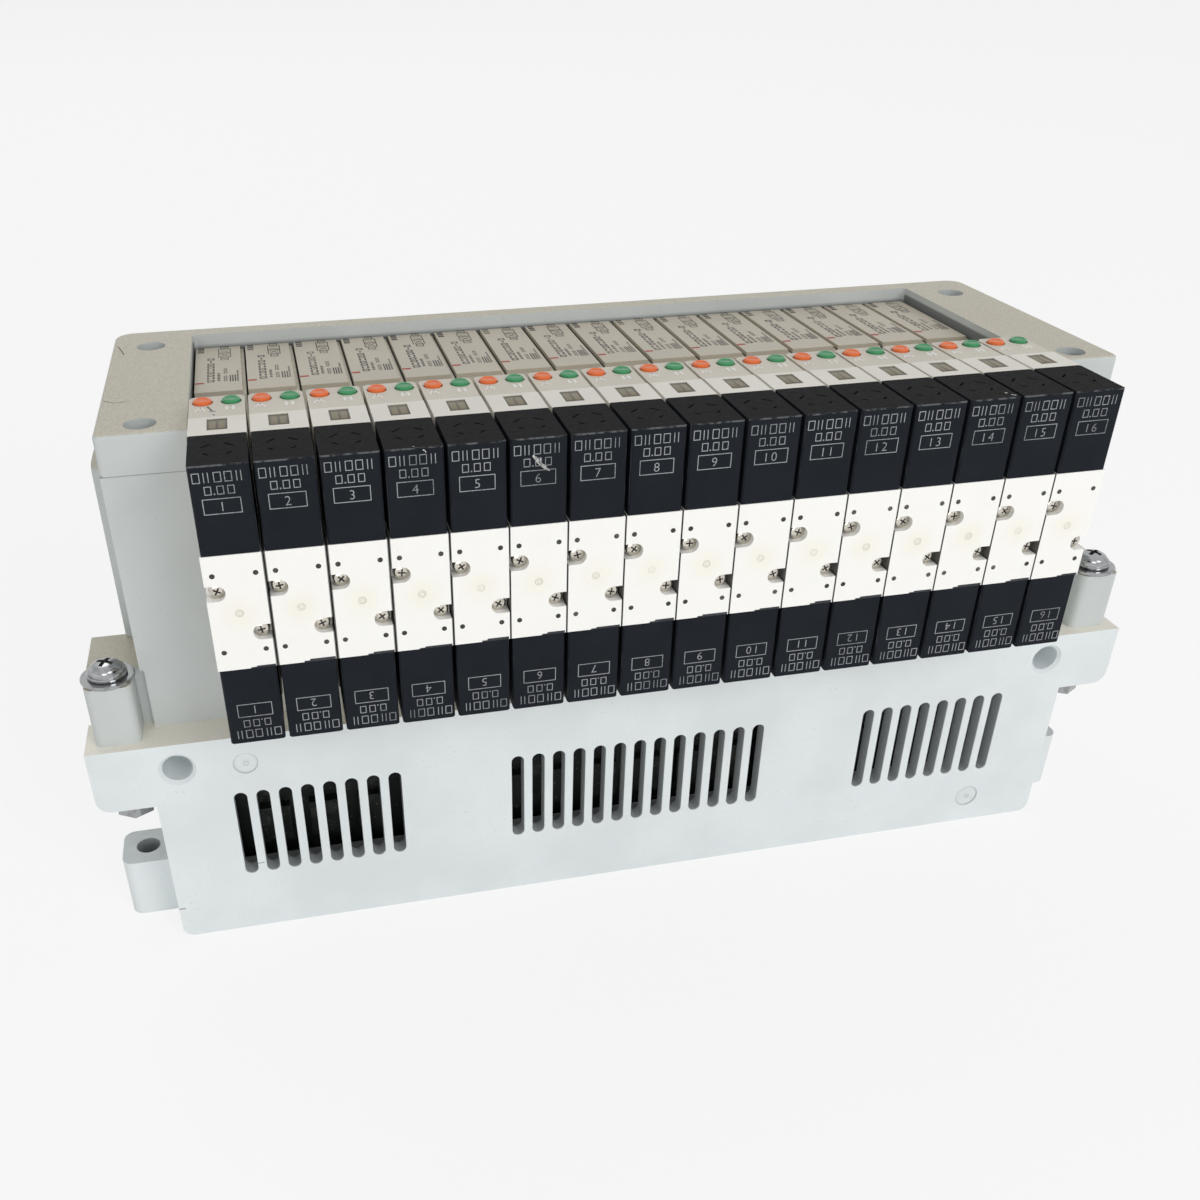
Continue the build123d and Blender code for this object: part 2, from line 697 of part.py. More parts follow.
def main():
    """Builds every sub-part and writes one STEP file for each."""
    nodes = {
        "front_housing": front_housing(),
        "foot_frame": foot_frame(),
        "circuit_board": circuit_board(),
        "connector_shell": connector_shell(),
        "connector_insert": connector_insert(),
        "manifold_base": manifold_base(),
        "port_block": port_block(),
        "port_fittings": port_fittings(),
        "supply_fittings": supply_fittings(),
        "top_frame": top_frame(),
        "end_block_right": end_block(),
        "end_block_left": mirrored(end_block()),
        "side_plates": [side_plate(), mirrored(side_plate())],
        "end_covers": [end_cover(), mirrored(end_cover())],
        "clamp_screws": [clamp_screw(), mirrored(clamp_screw())],
        "clamp_washers": clamp_washers() + [mirrored(w) for w in clamp_washers()],
        "clamp_nuts": [clamp_nut(), mirrored(clamp_nut())],
        "valve_bodies": row_of(valve_body()),
        "label_plates": row_of(label_plate()),
        "valve_gaskets": row_of(gasket()),
        "lamp_covers": row_of(lamp_cover()),
        "window_lenses": row_of(window_lens()),
        "lamps": [copy for lamp in lamps() for copy in row_of(lamp)],
        "override_plates": row_of(override_plate()),
        "upper_pilots": row_of(upper_coil()),
        "lower_pilots": row_of(lower_coil()),
        "pilot_plates": row_of(pilot_plate()),
        "plate_screws": [copy for screw in plate_screws() for copy in row_of(screw)],
    }
    nodes.update(button_nodes())
    os.makedirs("parts", exist_ok=True)
    for name, shape in nodes.items():
        piece = Compound(children=list(shape)) if isinstance(shape, list) else shape
        export_step(piece, f"parts/{name}.step")
    print(len(nodes), "nodes")


main()
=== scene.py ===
"""Finishes, print, screws, wear and studio for a sixteen-station pneumatic valve island.

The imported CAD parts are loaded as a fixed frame. +X runs along the row of valves, the
pilots face -Y and +Z is up. Objects are in metres; drawings of print are in millimetres.
"""

from math import atan2, cos, hypot, pi, radians, sin, tau

import bmesh
import bpy
from mathutils import Matrix, Vector


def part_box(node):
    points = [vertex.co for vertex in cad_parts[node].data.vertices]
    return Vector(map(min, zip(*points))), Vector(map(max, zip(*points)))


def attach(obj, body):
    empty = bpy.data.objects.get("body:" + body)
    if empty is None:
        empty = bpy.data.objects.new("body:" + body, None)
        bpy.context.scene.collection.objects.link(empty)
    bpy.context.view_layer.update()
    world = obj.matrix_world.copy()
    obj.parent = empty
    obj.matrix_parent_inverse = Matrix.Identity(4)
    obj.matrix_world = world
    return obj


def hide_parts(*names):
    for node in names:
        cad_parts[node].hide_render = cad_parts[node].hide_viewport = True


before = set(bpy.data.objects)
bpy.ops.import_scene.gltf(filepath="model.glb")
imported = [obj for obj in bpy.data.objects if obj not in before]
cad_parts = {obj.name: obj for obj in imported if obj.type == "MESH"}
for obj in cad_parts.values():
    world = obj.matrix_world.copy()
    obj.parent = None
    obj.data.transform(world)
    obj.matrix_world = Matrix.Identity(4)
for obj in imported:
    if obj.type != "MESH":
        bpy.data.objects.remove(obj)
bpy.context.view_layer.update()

bl_info = {
    "name": "Valve Island Finish",
    "version": (1, 0, 0),
    "blender": (4, 5, 0),
    "location": "3D View > Sidebar > Valve Island",
    "description": "Finishes, print, screws, wear and studio for a pneumatic valve island",
    "category": "Object",
}

MM = 0.001
STATIONS = 16
NUMBERS = range(1, STATIONS + 1)
PITCH = 10.5
ROW_END = PITCH * STATIONS / 2
ROW_LEFT = -ROW_END
SENSOR_WIDTH = 36
UP_FRONT = Matrix.Rotation(radians(90), 4, "X")
UPSIDE_DOWN = Matrix.Rotation(radians(180), 4, "Z")
LIFT = 0.02  # how far print stands off its face
SHARP_ANGLE = radians(35)
RESIN_IOR = 1.48
SEAT_RADIUS = 1.3
LUG_SIDE = 102.0
LUG_TOP = 14.4
LUG_HOLE_X = 107.4
LUG_HOLE_Y = 7.6
LUG_HOLE_SPREAD = 25.0
LUG_HOLE_RADIUS = 2.5
VENTS_SIDE = 92.0
VENTS_TOP = 40.0
DIGIT_SHARE = 0.73  # height of a digit in a font of size 1


def corner_mm(node):
    """Lowest and highest corner of a CAD node in millimetres."""
    low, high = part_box(node)
    return low / MM, high / MM


COIL_LOW, COIL_HIGH = corner_mm("upper_pilots")
STACK_LOW = corner_mm("lower_pilots")[0]
PLATE_LOW, PLATE_HIGH = corner_mm("pilot_plates")
LABEL_LOW, LABEL_HIGH = corner_mm("label_plates")
OVERRIDE_HIGH = corner_mm("override_plates")[1]
SCREW_LOW, SCREW_HIGH = corner_mm("plate_screws")
LENS_LOW, LENS_HIGH = corner_mm("window_lenses")
FRAME_LOW, FRAME_HIGH = corner_mm("top_frame")
HOUSING_LOW, HOUSING_HIGH = corner_mm("front_housing")
FITTING_HIGH = corner_mm("port_fittings")[1]
PLATE_MIDDLE = (PLATE_LOW.z + PLATE_HIGH.z) / 2
LENS_MIDDLE = (LENS_LOW.y + LENS_HIGH.y) / 2
FRONT = COIL_LOW.y
TOP = COIL_HIGH.z


# Shader maths


def shade(red, green, blue):
    """A colour written in 0 to 255 screen values, as the linear values a shader takes."""
    parts = [value / 255 for value in (red, green, blue)]
    return tuple(p / 12.92 if p <= 0.04045 else ((p + 0.055) / 1.055) ** 2.4 for p in parts)


def both_ways(operation):
    """An operator on wires and its reflected form, each as one Math node."""

    def straight(self, other):
        return self.finish.math(operation, self, other)

    def reflected(self, other):
        return self.finish.math(operation, other, self)

    return straight, reflected


class Wire:
    """One output of a node, so that sums on it can be written as sums."""

    __add__, __radd__ = both_ways("ADD")
    __sub__, __rsub__ = both_ways("SUBTRACT")
    __mul__, __rmul__ = both_ways("MULTIPLY")
    __mod__, __rmod__ = both_ways("FLOORED_MODULO")
    __lt__, __gt__ = both_ways("LESS_THAN")

    def __init__(self, finish, socket):
        self.finish = finish
        self.socket = socket

    def __abs__(self):
        return self.finish.math("ABSOLUTE", self)

    def rise(self, low, high):
        """Goes smoothly from 0 at low to 1 at high."""
        ends = {"Value": self, "From Min": low, "From Max": high}
        return self.finish.node("ShaderNodeMapRange", {"interpolation_type": "SMOOTHSTEP"}, ends)

    def fall(self, low, high):
        """Goes smoothly from 1 at low to 0 at high."""
        return 1 - self.rise(low, high)


class Finish:
    """The nodes of one material or world, whose outputs are wires."""

    def __init__(self, owner):
        self.owner = owner
        owner.use_nodes = True
        self.tree = owner.node_tree
        self.tree.nodes.clear()

    def node(self, kind, settings=None, values=None, output=0):
        """Adds a node: its settings first, then the values or wires of its sockets."""
        made = self.tree.nodes.new(kind)
        for name, value in (settings or {}).items():
            setattr(made, name, value)
        for name, value in (values or {}).items():
            socket = made.inputs[name]
            if isinstance(value, Wire):
                self.tree.links.new(value.socket, socket)
            elif socket.type == "RGBA":
                socket.default_value = (*value[:3], 1)
            else:
                socket.default_value = value
        return None if output is None else Wire(self, made.outputs[output])

    def math(self, operation, *values):
        """A Math node, or a Vector Math node where a wire carries a place."""
        places = any(isinstance(v, Wire) and v.socket.type == "VECTOR" for v in values)
        kind = "ShaderNodeVectorMath" if places else "ShaderNodeMath"
        return self.node(kind, {"operation": operation}, dict(enumerate(values)))

    def place(self):
        """Place on the piece in millimetres."""
        spot = self.node("ShaderNodeTexCoord", output="Object")
        return self.math("MULTIPLY", spot, (1 / MM,) * 3)

    def axes(self, vector):
        """The three numbers of a place or direction."""
        parts = self.node("ShaderNodeSeparateXYZ", values={"Vector": vector}).socket.node
        return [Wire(self, parts.outputs[name]) for name in "XYZ"]

    def upward(self):
        """How far the surface looks up."""
        return self.axes(self.node("ShaderNodeTexCoord", output="Normal"))[2]

    def far(self, x, y):
        """Length of the way across x and y."""
        return self.math("POWER", x * x + y * y, 0.5)

    def highest(self, first, *others):
        """The highest of several values."""
        for other in others:
            first = self.math("MAXIMUM", first, other)
        return first

    def noise(self, place, size, detail=3.0, stretch=(1, 1, 1)):
        """Cloudy values about 0.5 with features of a size in millimetres."""
        spot = self.math("MULTIPLY", place, tuple(1 / (size * s) for s in stretch))
        values = {"Vector": spot, "Scale": 1.0, "Detail": detail}
        return self.node("ShaderNodeTexNoise", values=values)

    def cells(self, place, size):
        """Distance to the middle of irregular cells of a size in millimetres."""
        spot = self.math("MULTIPLY", place, (1 / size,) * 3)
        return self.node("ShaderNodeTexVoronoi", values={"Vector": spot, "Scale": 1.0})

    def mix(self, factor, low, high):
        """A colour between two colours."""
        ends = {0: factor, 6: low, 7: high}
        return self.node("ShaderNodeMix", {"data_type": "RGBA"}, ends, output=2)

    def bump(self, height, depth):
        """Relief of a depth in millimetres."""
        values = {"Height": height, "Distance": depth * MM, "Strength": 1.0}
        return self.node("ShaderNodeBump", values=values, output="Normal")

    def close(self, tone, roughness, relief=None, others=None):
        """Ends the material in one surface shader and returns the material."""
        values = {"Base Color": tone, "Roughness": roughness, **(others or {})}
        if relief is not None:
            values["Normal"] = relief
        return self.end(self.node("ShaderNodeBsdfPrincipled", values=values))

    def end(self, shader, kind="ShaderNodeOutputMaterial"):
        """Links a shader to the output and returns the material or world."""
        self.node(kind, values={"Surface": shader}, output=None)
        return self.owner

    def seen_rays(self):
        """1 for the rays that show a background: to the camera, off metal and through glass."""
        rays = self.node("ShaderNodeLightPath").socket.node.outputs
        names = ("Is Camera Ray", "Is Glossy Ray", "Is Transmission Ray")
        return self.highest(*(Wire(self, rays[name]) for name in names))


# Finishes


def new_finish(name):
    """The nodes of a new material, and the place on its piece in millimetres."""
    finish = Finish(bpy.data.materials.new(name))
    return finish, finish.place()


def times(colour, factor):
    """A colour made darker or paler."""
    return tuple(min(1.0, part * factor) for part in colour)


def from_station(across):
    """How far a place lies to the right of the middle of its own valve."""
    return (across - ROW_LEFT) % PITCH - PITCH / 2


def in_row(across):
    """1 inside the row of valves and 0 from its outer sides on."""
    return abs(across).fall(ROW_END - 0.5, ROW_END - 0.3)


def moulded(
    name, colour, aged=None, top_tint_from=0.0, leather=0.16, roughness=0.5, grain=0.02, soil=0.25,
    dark=None
):
    """Moulded resin: spark grain, faint clouding, specks, upper faces tinted by yellowing and
    painted light, and dark joints and painted shade.
    """
    finish, place = new_finish(name)
    cloud = finish.noise(place, 22.0)
    speck = finish.noise(place, 0.55, 2.0)
    fine = finish.noise(place, 0.16, 2.0)
    dull = times(colour, 0.94)
    tone = finish.mix(cloud.rise(0.30, 0.72), dull, times(colour, 1.03))
    # Upper faces take the top tint: yellowed resin with painted warm light from above. On the
    # housing the tint is the ledge colour, which is painted light.
    if aged is not None:
        upper = finish.upward().rise(0.35, 0.95)
        upper = upper * finish.axes(place)[2].rise(top_tint_from - 0.5, top_tint_from - 0.2)
        hide = finish.noise(place, 0.42, 2.0).rise(0.36, 0.64)
        old = finish.mix(hide, times(aged, 1 - leather), times(aged, 1 + leather / 3))
        tone = finish.mix(upper * (0.8 + 0.2 * cloud), tone, old)
    dirt = speck.rise(0.66, 0.74) * cloud.rise(0.40, 0.62) * soil
    tone = finish.mix(dirt, tone, times(colour, 0.35))
    tone = finish.mix(fine.rise(0.35, 0.65) * 0.10, tone, dull)
    # Darker where dark gives it: dark joints, darker lug holes, dust, and painted shade in gaps,
    # slots, vents and on lug tops.
    if dark is not None:
        tone = finish.mix(dark(finish, place), tone, times(colour, 0.10))
    rough = roughness + 0.16 * cloud - 0.08
    return finish.close(tone, rough, finish.bump(fine, grain), {"IOR": RESIN_IOR})


def valve_joints(finish, place):
    """Dark line between neighbouring valves."""
    across = finish.axes(place)[0]
    from_joint = PITCH / 2 - abs(from_station(across))
    return from_joint.fall(0.12, 0.42) * in_row(across) * 0.85


def frame_seams(finish, place):
    """Parting line under the top frame, and painted shade in the gap beside the outer valves and
    on the inner wall below the frame's rim.
    """
    across, deep, high = finish.axes(place)
    side = abs(across)
    seam = abs(high - FRAME_LOW.z).fall(0.03, 0.16) * 0.5
    inner = side.fall(ROW_END + 0.45, ROW_END + 0.75)
    inside = inner * deep.fall(LABEL_HIGH.y + 2.0, LABEL_HIGH.y + 3.0)
    # Painted shade at the foot of the gap beside the outer valves.
    foot = inside * high.fall(LABEL_HIGH.z - 0.6, LABEL_HIGH.z + 0.8) * 0.8
    wall = inner * side.rise(ROW_END - 0.05, ROW_END + 0.15)
    # Painted shade on the end blocks' inner walls below the rim.
    slot = wall * high.fall(FRAME_HIGH.z - 1.7, FRAME_HIGH.z - 1.1) * 0.75
    return finish.highest(seam, foot, slot)


def housing_shade(finish, place):
    """Painted shade on the walls of the vents, darker lug holes, and dust with painted shade on
    the lug tops.
    """
    across, deep, high = finish.axes(place)
    side = abs(across)
    behind = deep - HOUSING_LOW.y
    wall = behind.rise(0.15, 0.4) * behind.fall(12.0, 14.0)
    vents = wall * side.fall(VENTS_SIDE, VENTS_SIDE + 0.5) * high.fall(VENTS_TOP, VENTS_TOP + 1)
    lugs = side.rise(LUG_SIDE, LUG_SIDE + 1) * high.fall(LUG_TOP + 0.4, LUG_TOP + 0.8)
    from_hole = finish.far(side - LUG_HOLE_X, abs(deep - LUG_HOLE_Y) - LUG_HOLE_SPREAD)
    holes = lugs * from_hole.fall(LUG_HOLE_RADIUS + 0.08, LUG_HOLE_RADIUS + 0.16)
    # Dust with painted shade on the lug tops.
    dust = 0.16 + 0.2 * finish.noise(place, 3.0)
    tops = lugs * high.rise(LUG_TOP - 0.2, LUG_TOP - 0.02) * dust
    return finish.highest(vents * 0.5, holes * 0.6, tops)


def release_sleeves(finish, place):
    """Darker release sleeves at the outer ends of the tube fittings."""
    deep = finish.axes(place)[1]
    return deep.rise(FITTING_HIGH.y - 1.45, FITTING_HIGH.y - 1.4) * 0.55


def coil_resin(name, colour, worn):
    """Black coil resin: bluish satin front, scuffed dusty top, and pale marks along the top front
    corner and the sides: rubbed resin with a painted highlight.
    """
    finish, place = new_finish(name)
    across, deep, high = finish.axes(place)
    upper = finish.upward().rise(0.4, 0.9)
    cloud = finish.noise(place, 6.0)
    fine = finish.noise(place, 0.14, 2.0)
    rub = finish.noise(place, 0.9, 4.0, stretch=(1.6, 1, 1))
    streak = finish.noise(place, 0.5, stretch=(0.5, 1, 9))
    dusty = (colour[0] * 0.75, colour[1] * 0.52, colour[2] * 0.34)
    tone = finish.mix(cloud, times(colour, 0.75), times(colour, 1.25))
    tone = finish.mix(upper * (0.6 + 0.4 * rub.rise(0.42, 0.70)), tone, dusty)
    # Pale streaks on the sides and a pale line along the top front corner, patchy by the rub
    # noise: rubbed resin with a painted highlight.
    side_edge = abs(from_station(across)).rise(4.55, 4.85) * streak.rise(0.52, 0.70)
    front_edge = (FRONT + 0.4 - deep).rise(0.0, 0.2)
    top_edge = high.rise(TOP - 0.30, TOP - 0.12) * front_edge
    marks = top_edge * rub.rise(0.40, 0.62) + side_edge * front_edge * 0.35
    tone = finish.mix(marks * 0.75, tone, worn)
    rough = 0.42 + 0.16 * rub + 0.20 * upper
    return finish.close(tone, rough, finish.bump(fine, 0.018), {"Specular IOR Level": 0.07})


def plate_resin(name, colour, tint):
    """White pilot plate: satin, warmed round the gate mark, with faint flow clouds."""
    finish, place = new_finish(name)
    across, _, high = finish.axes(place)
    cloud = finish.noise(place, 7.0)
    speck = finish.noise(place, 0.4, 2.0)
    fine = finish.noise(place, 0.22, 2.0)
    beside = from_station(across)
    warm = finish.far(beside, high - PLATE_MIDDLE).fall(1.0, 5.0) * (0.2 + 0.6 * cloud)
    tone = finish.mix(warm, colour, tint)
    tone = finish.mix(cloud.rise(0.5, 0.75) * 0.12, tone, times(colour, 0.9))
    tone = finish.mix(speck.rise(0.70, 0.76) * 0.35, tone, times(colour, 0.45))
    wider = 0.13 * across.fall(-58.0, -30.0)
    joint = (abs(beside) + wider).rise(5.04, 5.12) * in_row(across)
    tone = finish.mix(joint * 0.9, tone, times(colour, 0.03))
    rough = 0.42 + 0.12 * cloud
    return finish.close(tone, rough, finish.bump(fine, 0.012), {"IOR": RESIN_IOR})


def ink(name, colour, surface, wear):
    """Printed or laser-marked ink, thinned where it has rubbed off the surface under it."""
    finish, place = new_finish(name)
    patch = finish.noise(place, 9.0, 2.0)
    fine = finish.noise(place, 0.35)
    thin = (patch * 0.55 + fine * 0.45).rise(0.46, 0.66) * wear
    return finish.close(finish.mix(thin, colour, surface), 0.5 + 0.2 * fine)


def plated(name, colour, roughness, tarnish_and_dark_reflection):
    """Plated steel: bright, brushed round by handling, with darker patches that are tarnish and
    painted dark reflection.
    """
    finish, place = new_finish(name)
    cloud = finish.noise(place, 1.8, 4.0)
    fine = finish.noise(place, 0.25, 2.0)
    # Darker patches: tarnish and painted dark reflection of the surroundings.
    tone = finish.mix(cloud.rise(0.45, 0.72) * tarnish_and_dark_reflection, colour, times(colour, 0.62))
    rough = roughness + 0.22 * cloud.rise(0.45, 0.75)
    return finish.close(tone, rough, finish.bump(fine, 0.008), {"Metallic": 1.0})


def glossy(name, colour):
    """Coloured button resin with light finger wear on its top."""
    finish, place = new_finish(name)
    cloud = finish.noise(place, 1.2, 4.0)
    worn = finish.upward().rise(0.5, 0.95) * cloud.rise(0.50, 0.72) * 0.35
    tone = finish.mix(worn, colour, tuple(min(1.0, 0.75 * c + 0.12) for c in colour))
    return finish.close(tone, 0.3 + 0.25 * cloud, finish.bump(cloud, 0.01), {"Coat Weight": 0.15})


def clear_resin(name, colour, roughness, through):
    """Clear resin that shows what is under it."""
    finish, place = new_finish(name)
    clear = {"Transmission Weight": through, "IOR": 1.49}
    return finish.close(colour, roughness + 0.1 * finish.noise(place, 1.5), None, clear)


def smoked_resin(name, colour, lit):
    """Smoked window: dark, with paler patches where the lamps stand under it."""
    finish, place = new_finish(name)
    across, deep, _ = finish.axes(place)
    cloud = finish.noise(place, 0.7)
    side = abs(from_station(across))
    beside = side.rise(0.12, 0.3) * side.fall(1.2, 1.5)
    patch = beside * abs(deep - LENS_MIDDLE).fall(1.5, 2.2) * (0.5 + 0.6 * cloud)
    tone = finish.mix(patch, colour, lit)
    return finish.close(tone, 0.25 + 0.15 * cloud, None, {"Specular IOR Level": 0.3})


def rubber(name, colour):
    """Sheet rubber, dusty along its cut edge."""
    finish, place = new_finish(name)
    fine = finish.noise(place, 0.4, 4.0)
    tone = finish.mix(fine.rise(0.5, 0.75), colour, tuple(c + 0.06 for c in colour))
    return finish.close(tone, 0.8, finish.bump(fine, 0.02))


def board(name, colour):
    """Circuit board: green solder mask with dark parts and pale pads."""
    finish, place = new_finish(name)
    chips = finish.cells(place, 5.0)
    tone = finish.mix(chips.rise(0.30, 0.36), shade(40, 42, 41), colour)
    tone = finish.mix((finish.cells(place, 1.3) < 0.14) * 0.5, tone, shade(120, 122, 118))
    return finish.close(tone, 0.4 + 0.3 * chips)


# Building


def dress(material, slot, *nodes):
    """Puts a finish on CAD nodes."""
    for name in nodes:
        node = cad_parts[name]
        node.data.materials.clear()
        node.data.materials.append(material)


def mesh_of(name, bm):
    """A mesh of a finished bmesh, which is used up."""
    mesh = bpy.data.meshes.new(name)
    bm.to_mesh(mesh)
    bm.free()
    return mesh


def add_object(name, data):
    """An object at the origin, linked into the scene."""
    made = bpy.data.objects.new(name, data)
    bpy.context.scene.collection.objects.link(made)
    return made


def worked_out(maker):
    """A bmesh of an object with its text or modifiers worked out. The object is removed."""
    shown = maker.evaluated_get(bpy.context.evaluated_depsgraph_get())
    mesh = bpy.data.meshes.new_from_object(shown)
    made = bmesh.new()
    made.from_mesh(mesh)
    bpy.data.meshes.remove(mesh)
    bpy.data.objects.remove(maker)
    return made


def piece(name, bm, material, body="island", smooth=False, inside=None):
    """Makes an object of a finished bmesh, with its place in its mesh, on its CAD body."""
    mesh = mesh_of(name, bm)
    mesh.materials.append(material)
    if inside is not None:
        mesh.materials.append(inside)
    if smooth:
        mesh.shade_smooth()
        mesh.set_sharp_from_angle(angle=SHARP_ANGLE)
    made = add_object(name, mesh)
    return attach(made, body)


def bar(bm, x, y, width, height, turn=0.0):
    """Adds a filled bar to a flat drawing in millimetres."""
    spot = Matrix.Translation((x, y, 0)) @ Matrix.Rotation(turn, 4, "Z")
    spot = spot @ Matrix.Diagonal((width, height, 1, 1))
    made = bmesh.ops.create_grid(bm, x_segments=1, y_segments=1, size=0.5, matrix=spot)
    face = made["verts"][0].link_faces[0]
    face.normal_update()
    return face


def hollow(bm, face, line):
    """Keeps only a line round a flat face."""
    bmesh.ops.inset_region(
        bm, faces=[face], thickness=line, use_boundary=True, use_even_offset=True
    )
    bmesh.ops.delete(bm, geom=[face], context="FACES")


def outline(bm, x, y, width, height, line):
    """Adds the line round a rectangle to a flat drawing."""
    hollow(bm, bar(bm, x, y, width, height), line)


def disc(bm, x, y, radius, steps=16):
    """Adds a round spot to a flat drawing."""
    made = bmesh.ops.create_circle(bm, cap_ends=True, segments=steps, radius=radius)
    bmesh.ops.translate(bm, verts=made["verts"], vec=(x, y, 0))
    face = made["verts"][0].link_faces[0]
    face.normal_update()
    return face


def stroke(bm, start, end, width):
    """Adds a straight stroke between two points to a flat drawing."""
    across = end[0] - start[0]
    along = end[1] - start[1]
    middle = ((start[0] + end[0]) / 2, (start[1] + end[1]) / 2)
    bar(bm, *middle, hypot(across, along), width, atan2(along, across))


def path(bm, points, width):
    """Adds strokes from point to point."""
    for start, end in zip(points, points[1:]):
        stroke(bm, start, end, width)


def ring(bm, x, y, radius, line, steps=20):
    """Adds a thin circle to a flat drawing."""
    hollow(bm, disc(bm, x, y, radius, steps), line)


def lathe(section, steps):
    """Turns a half section of (radius, height) points about Z into a closed solid."""
    bm = bmesh.new()
    verts = [bm.verts.new((radius, 0, height)) for radius, height in section]
    edges = [bm.edges.new(pair) for pair in zip(verts, verts[1:])]
    turn = {"cent": (0, 0, 0), "axis": (0, 0, 1), "dvec": (0, 0, 0), "angle": tau, "steps": steps}
    bmesh.ops.spin(bm, geom=verts + edges, use_merge=True, use_duplicate=False, **turn)
    bmesh.ops.remove_doubles(bm, verts=bm.verts, dist=0.001)
    bmesh.ops.recalc_face_normals(bm, faces=bm.faces)
    return bm


def stamp(target, drawing, place):
    """Adds a copy of a drawing in millimetres to a bmesh in metres, at one place."""
    copy = bpy.data.meshes.new("stamp")
    drawing.to_mesh(copy)
    copy.transform(Matrix.Scale(MM, 4) @ place)
    target.from_mesh(copy)
    bpy.data.meshes.remove(copy)


def placed(drawing, *places):
    """A bmesh in metres with a copy of a drawing at each place. The drawing is used up."""
    made = bmesh.new()
    for place in places:
        stamp(made, drawing, place)
    drawing.free()
    return made


def at_stations(drawing, place):
    """The same with a copy at each valve, from its place at the middle of the row."""
    spots = (Matrix.Translation((station_x(number), 0, 0)) for number in NUMBERS)
    return placed(drawing, *(spot @ place for spot in spots))


def number_drawing(text, height, thinner=0.0, spacing=1.0):
    """A number as a flat drawing in millimetres, centred, of one digit height."""
    curve = bpy.data.curves.new("number", "FONT")
    curve.body = text
    curve.size = height / DIGIT_SHARE
    curve.align_x = "CENTER"
    curve.space_character = spacing
    curve.offset = -thinner
    curve.resolution_u = 3
    drawing = worked_out(add_object("number", curve))
    bpy.data.curves.remove(curve)
    bmesh.ops.remove_doubles(drawing, verts=drawing.verts, dist=0.001)
    middle = sum(side(v.co.x for v in drawing.verts) for side in (min, max)) / 2
    bmesh.ops.translate(drawing, verts=drawing.verts, vec=(-middle, -height / 2, 0))
    return drawing


def station_x(number):
    """Centre of a valve station in millimetres, counted from 1 at the left."""
    return ROW_LEFT + (number - 0.5) * PITCH


def on_front(x, z, y=FRONT):
    """Place of a drawing on a face that looks to the front."""
    return Matrix.Translation((x, y - LIFT, z)) @ UP_FRONT


def on_top(x, y, z):
    """Place of a drawing on a face that looks up."""
    return Matrix.Translation((x, y, z + LIFT))


# Settings


def amount(name, description, default, **kind):
    """A setting of one number."""
    return bpy.props.FloatProperty(name=name, description=description, default=default, **kind)


def length(name, description, default, low, high):
    """A length setting, written here in millimetres."""
    limits = {"min": low * MM, "max": high * MM, "precision": 5}
    return amount(name, description, default * MM, subtype="DISTANCE", unit="LENGTH", **limits)


def share(name, description, default):
    """A setting from 0 to 1."""
    return amount(name, description, default, min=0.0, max=1.0, subtype="FACTOR")


def mm(value):
    """A length setting in millimetres."""
    return value / MM


def several(name, description, default, **kind):
    """A setting of a few numbers."""
    text = {"name": name, "description": description}
    return bpy.props.FloatVectorProperty(default=default, **text, **kind)


def colour(name, description, red, green, blue):
    """A colour setting written in screen values."""
    default = shade(red, green, blue)
    return several(name, description, default, subtype="COLOR", min=0.0, max=1.0)


class IslandColours(bpy.types.PropertyGroup):
    """Colours of the resins, inks and metals."""

    housing: colour("Housing", "Vented housing and foot frame", 229, 235, 236)
    ends: colour("End blocks", "End blocks and top frame", 203, 208, 207)
    manifold: colour("Manifold", "Manifold base and port block", 196, 196, 190)
    # Top tint: yellowed resin with painted warm light from above.
    aged: colour("Aged resin", "Tint of upper faces that light has yellowed", 200, 193, 173)
    # Painted light: the ledge colour is paler than the housing resin and stands in for light on
    # the shaded ledge.
    ledge: colour("Ledge", "Tint of the housing's upper faces", 252, 247, 233)
    valves: colour("Valve bodies", "Spool sections behind the overrides", 206, 201, 188)
    labels: colour("Labels", "Printed plates on the valves", 195, 187, 170)
    covers: colour("Lamp covers", "White covers behind the coils", 234, 231, 222)
    overrides: colour("Override plates", "Plates round the buttons", 214, 208, 195)
    coils: colour("Coils", "Black coil resin", 29, 33, 39)
    # Pale marks: rubbed coil edges with a painted highlight along them.
    worn: colour("Worn edge", "Rubbed edges of the coils", 112, 114, 116)
    plates: colour("Pilot plates", "White plates between the coils", 250, 249, 245)
    plate_tint: colour("Plate tint", "Warm tone round the gate mark", 247, 243, 226)
    orange: colour("Orange buttons", "Left override of each valve", 232, 112, 52)
    green: colour("Green buttons", "Right override of each valve", 58, 146, 94)
    coil_ink: colour("Coil marks", "Laser marks on the coils", 158, 161, 164)
    dark_ink: colour("Label print", "Dark print on the labels", 58, 54, 52)
    red_ink: colour("Label dash", "Red dash on the labels", 166, 56, 46)
    # Set darker than bare plated steel: painted dark reflection of the surroundings.
    steel: colour("Plated steel", "Screws, washers and nuts", 168, 170, 171)


class IslandMarks(bpy.types.PropertyGroup):
    """Sizes of the marks on the coils and labels."""

    line: length("Line", "Width of a marked line", 0.14, 0.05, 0.5)
    digit: length("Digit", "Height of the station number", 1.75, 0.5, 2.4)
    box_width: length("Box width", "Width of the box round the station number", 6.2, 3.0, 8.0)
    box_height: length("Box height", "Height of the box round the station number", 2.75, 1.0, 4.0)
    bold: length("Bold bar", "Width of the bold column on a label", 1.5, 0.5, 3.0)
    wear: share("Print wear", "How much of the print has rubbed off", 0.55)


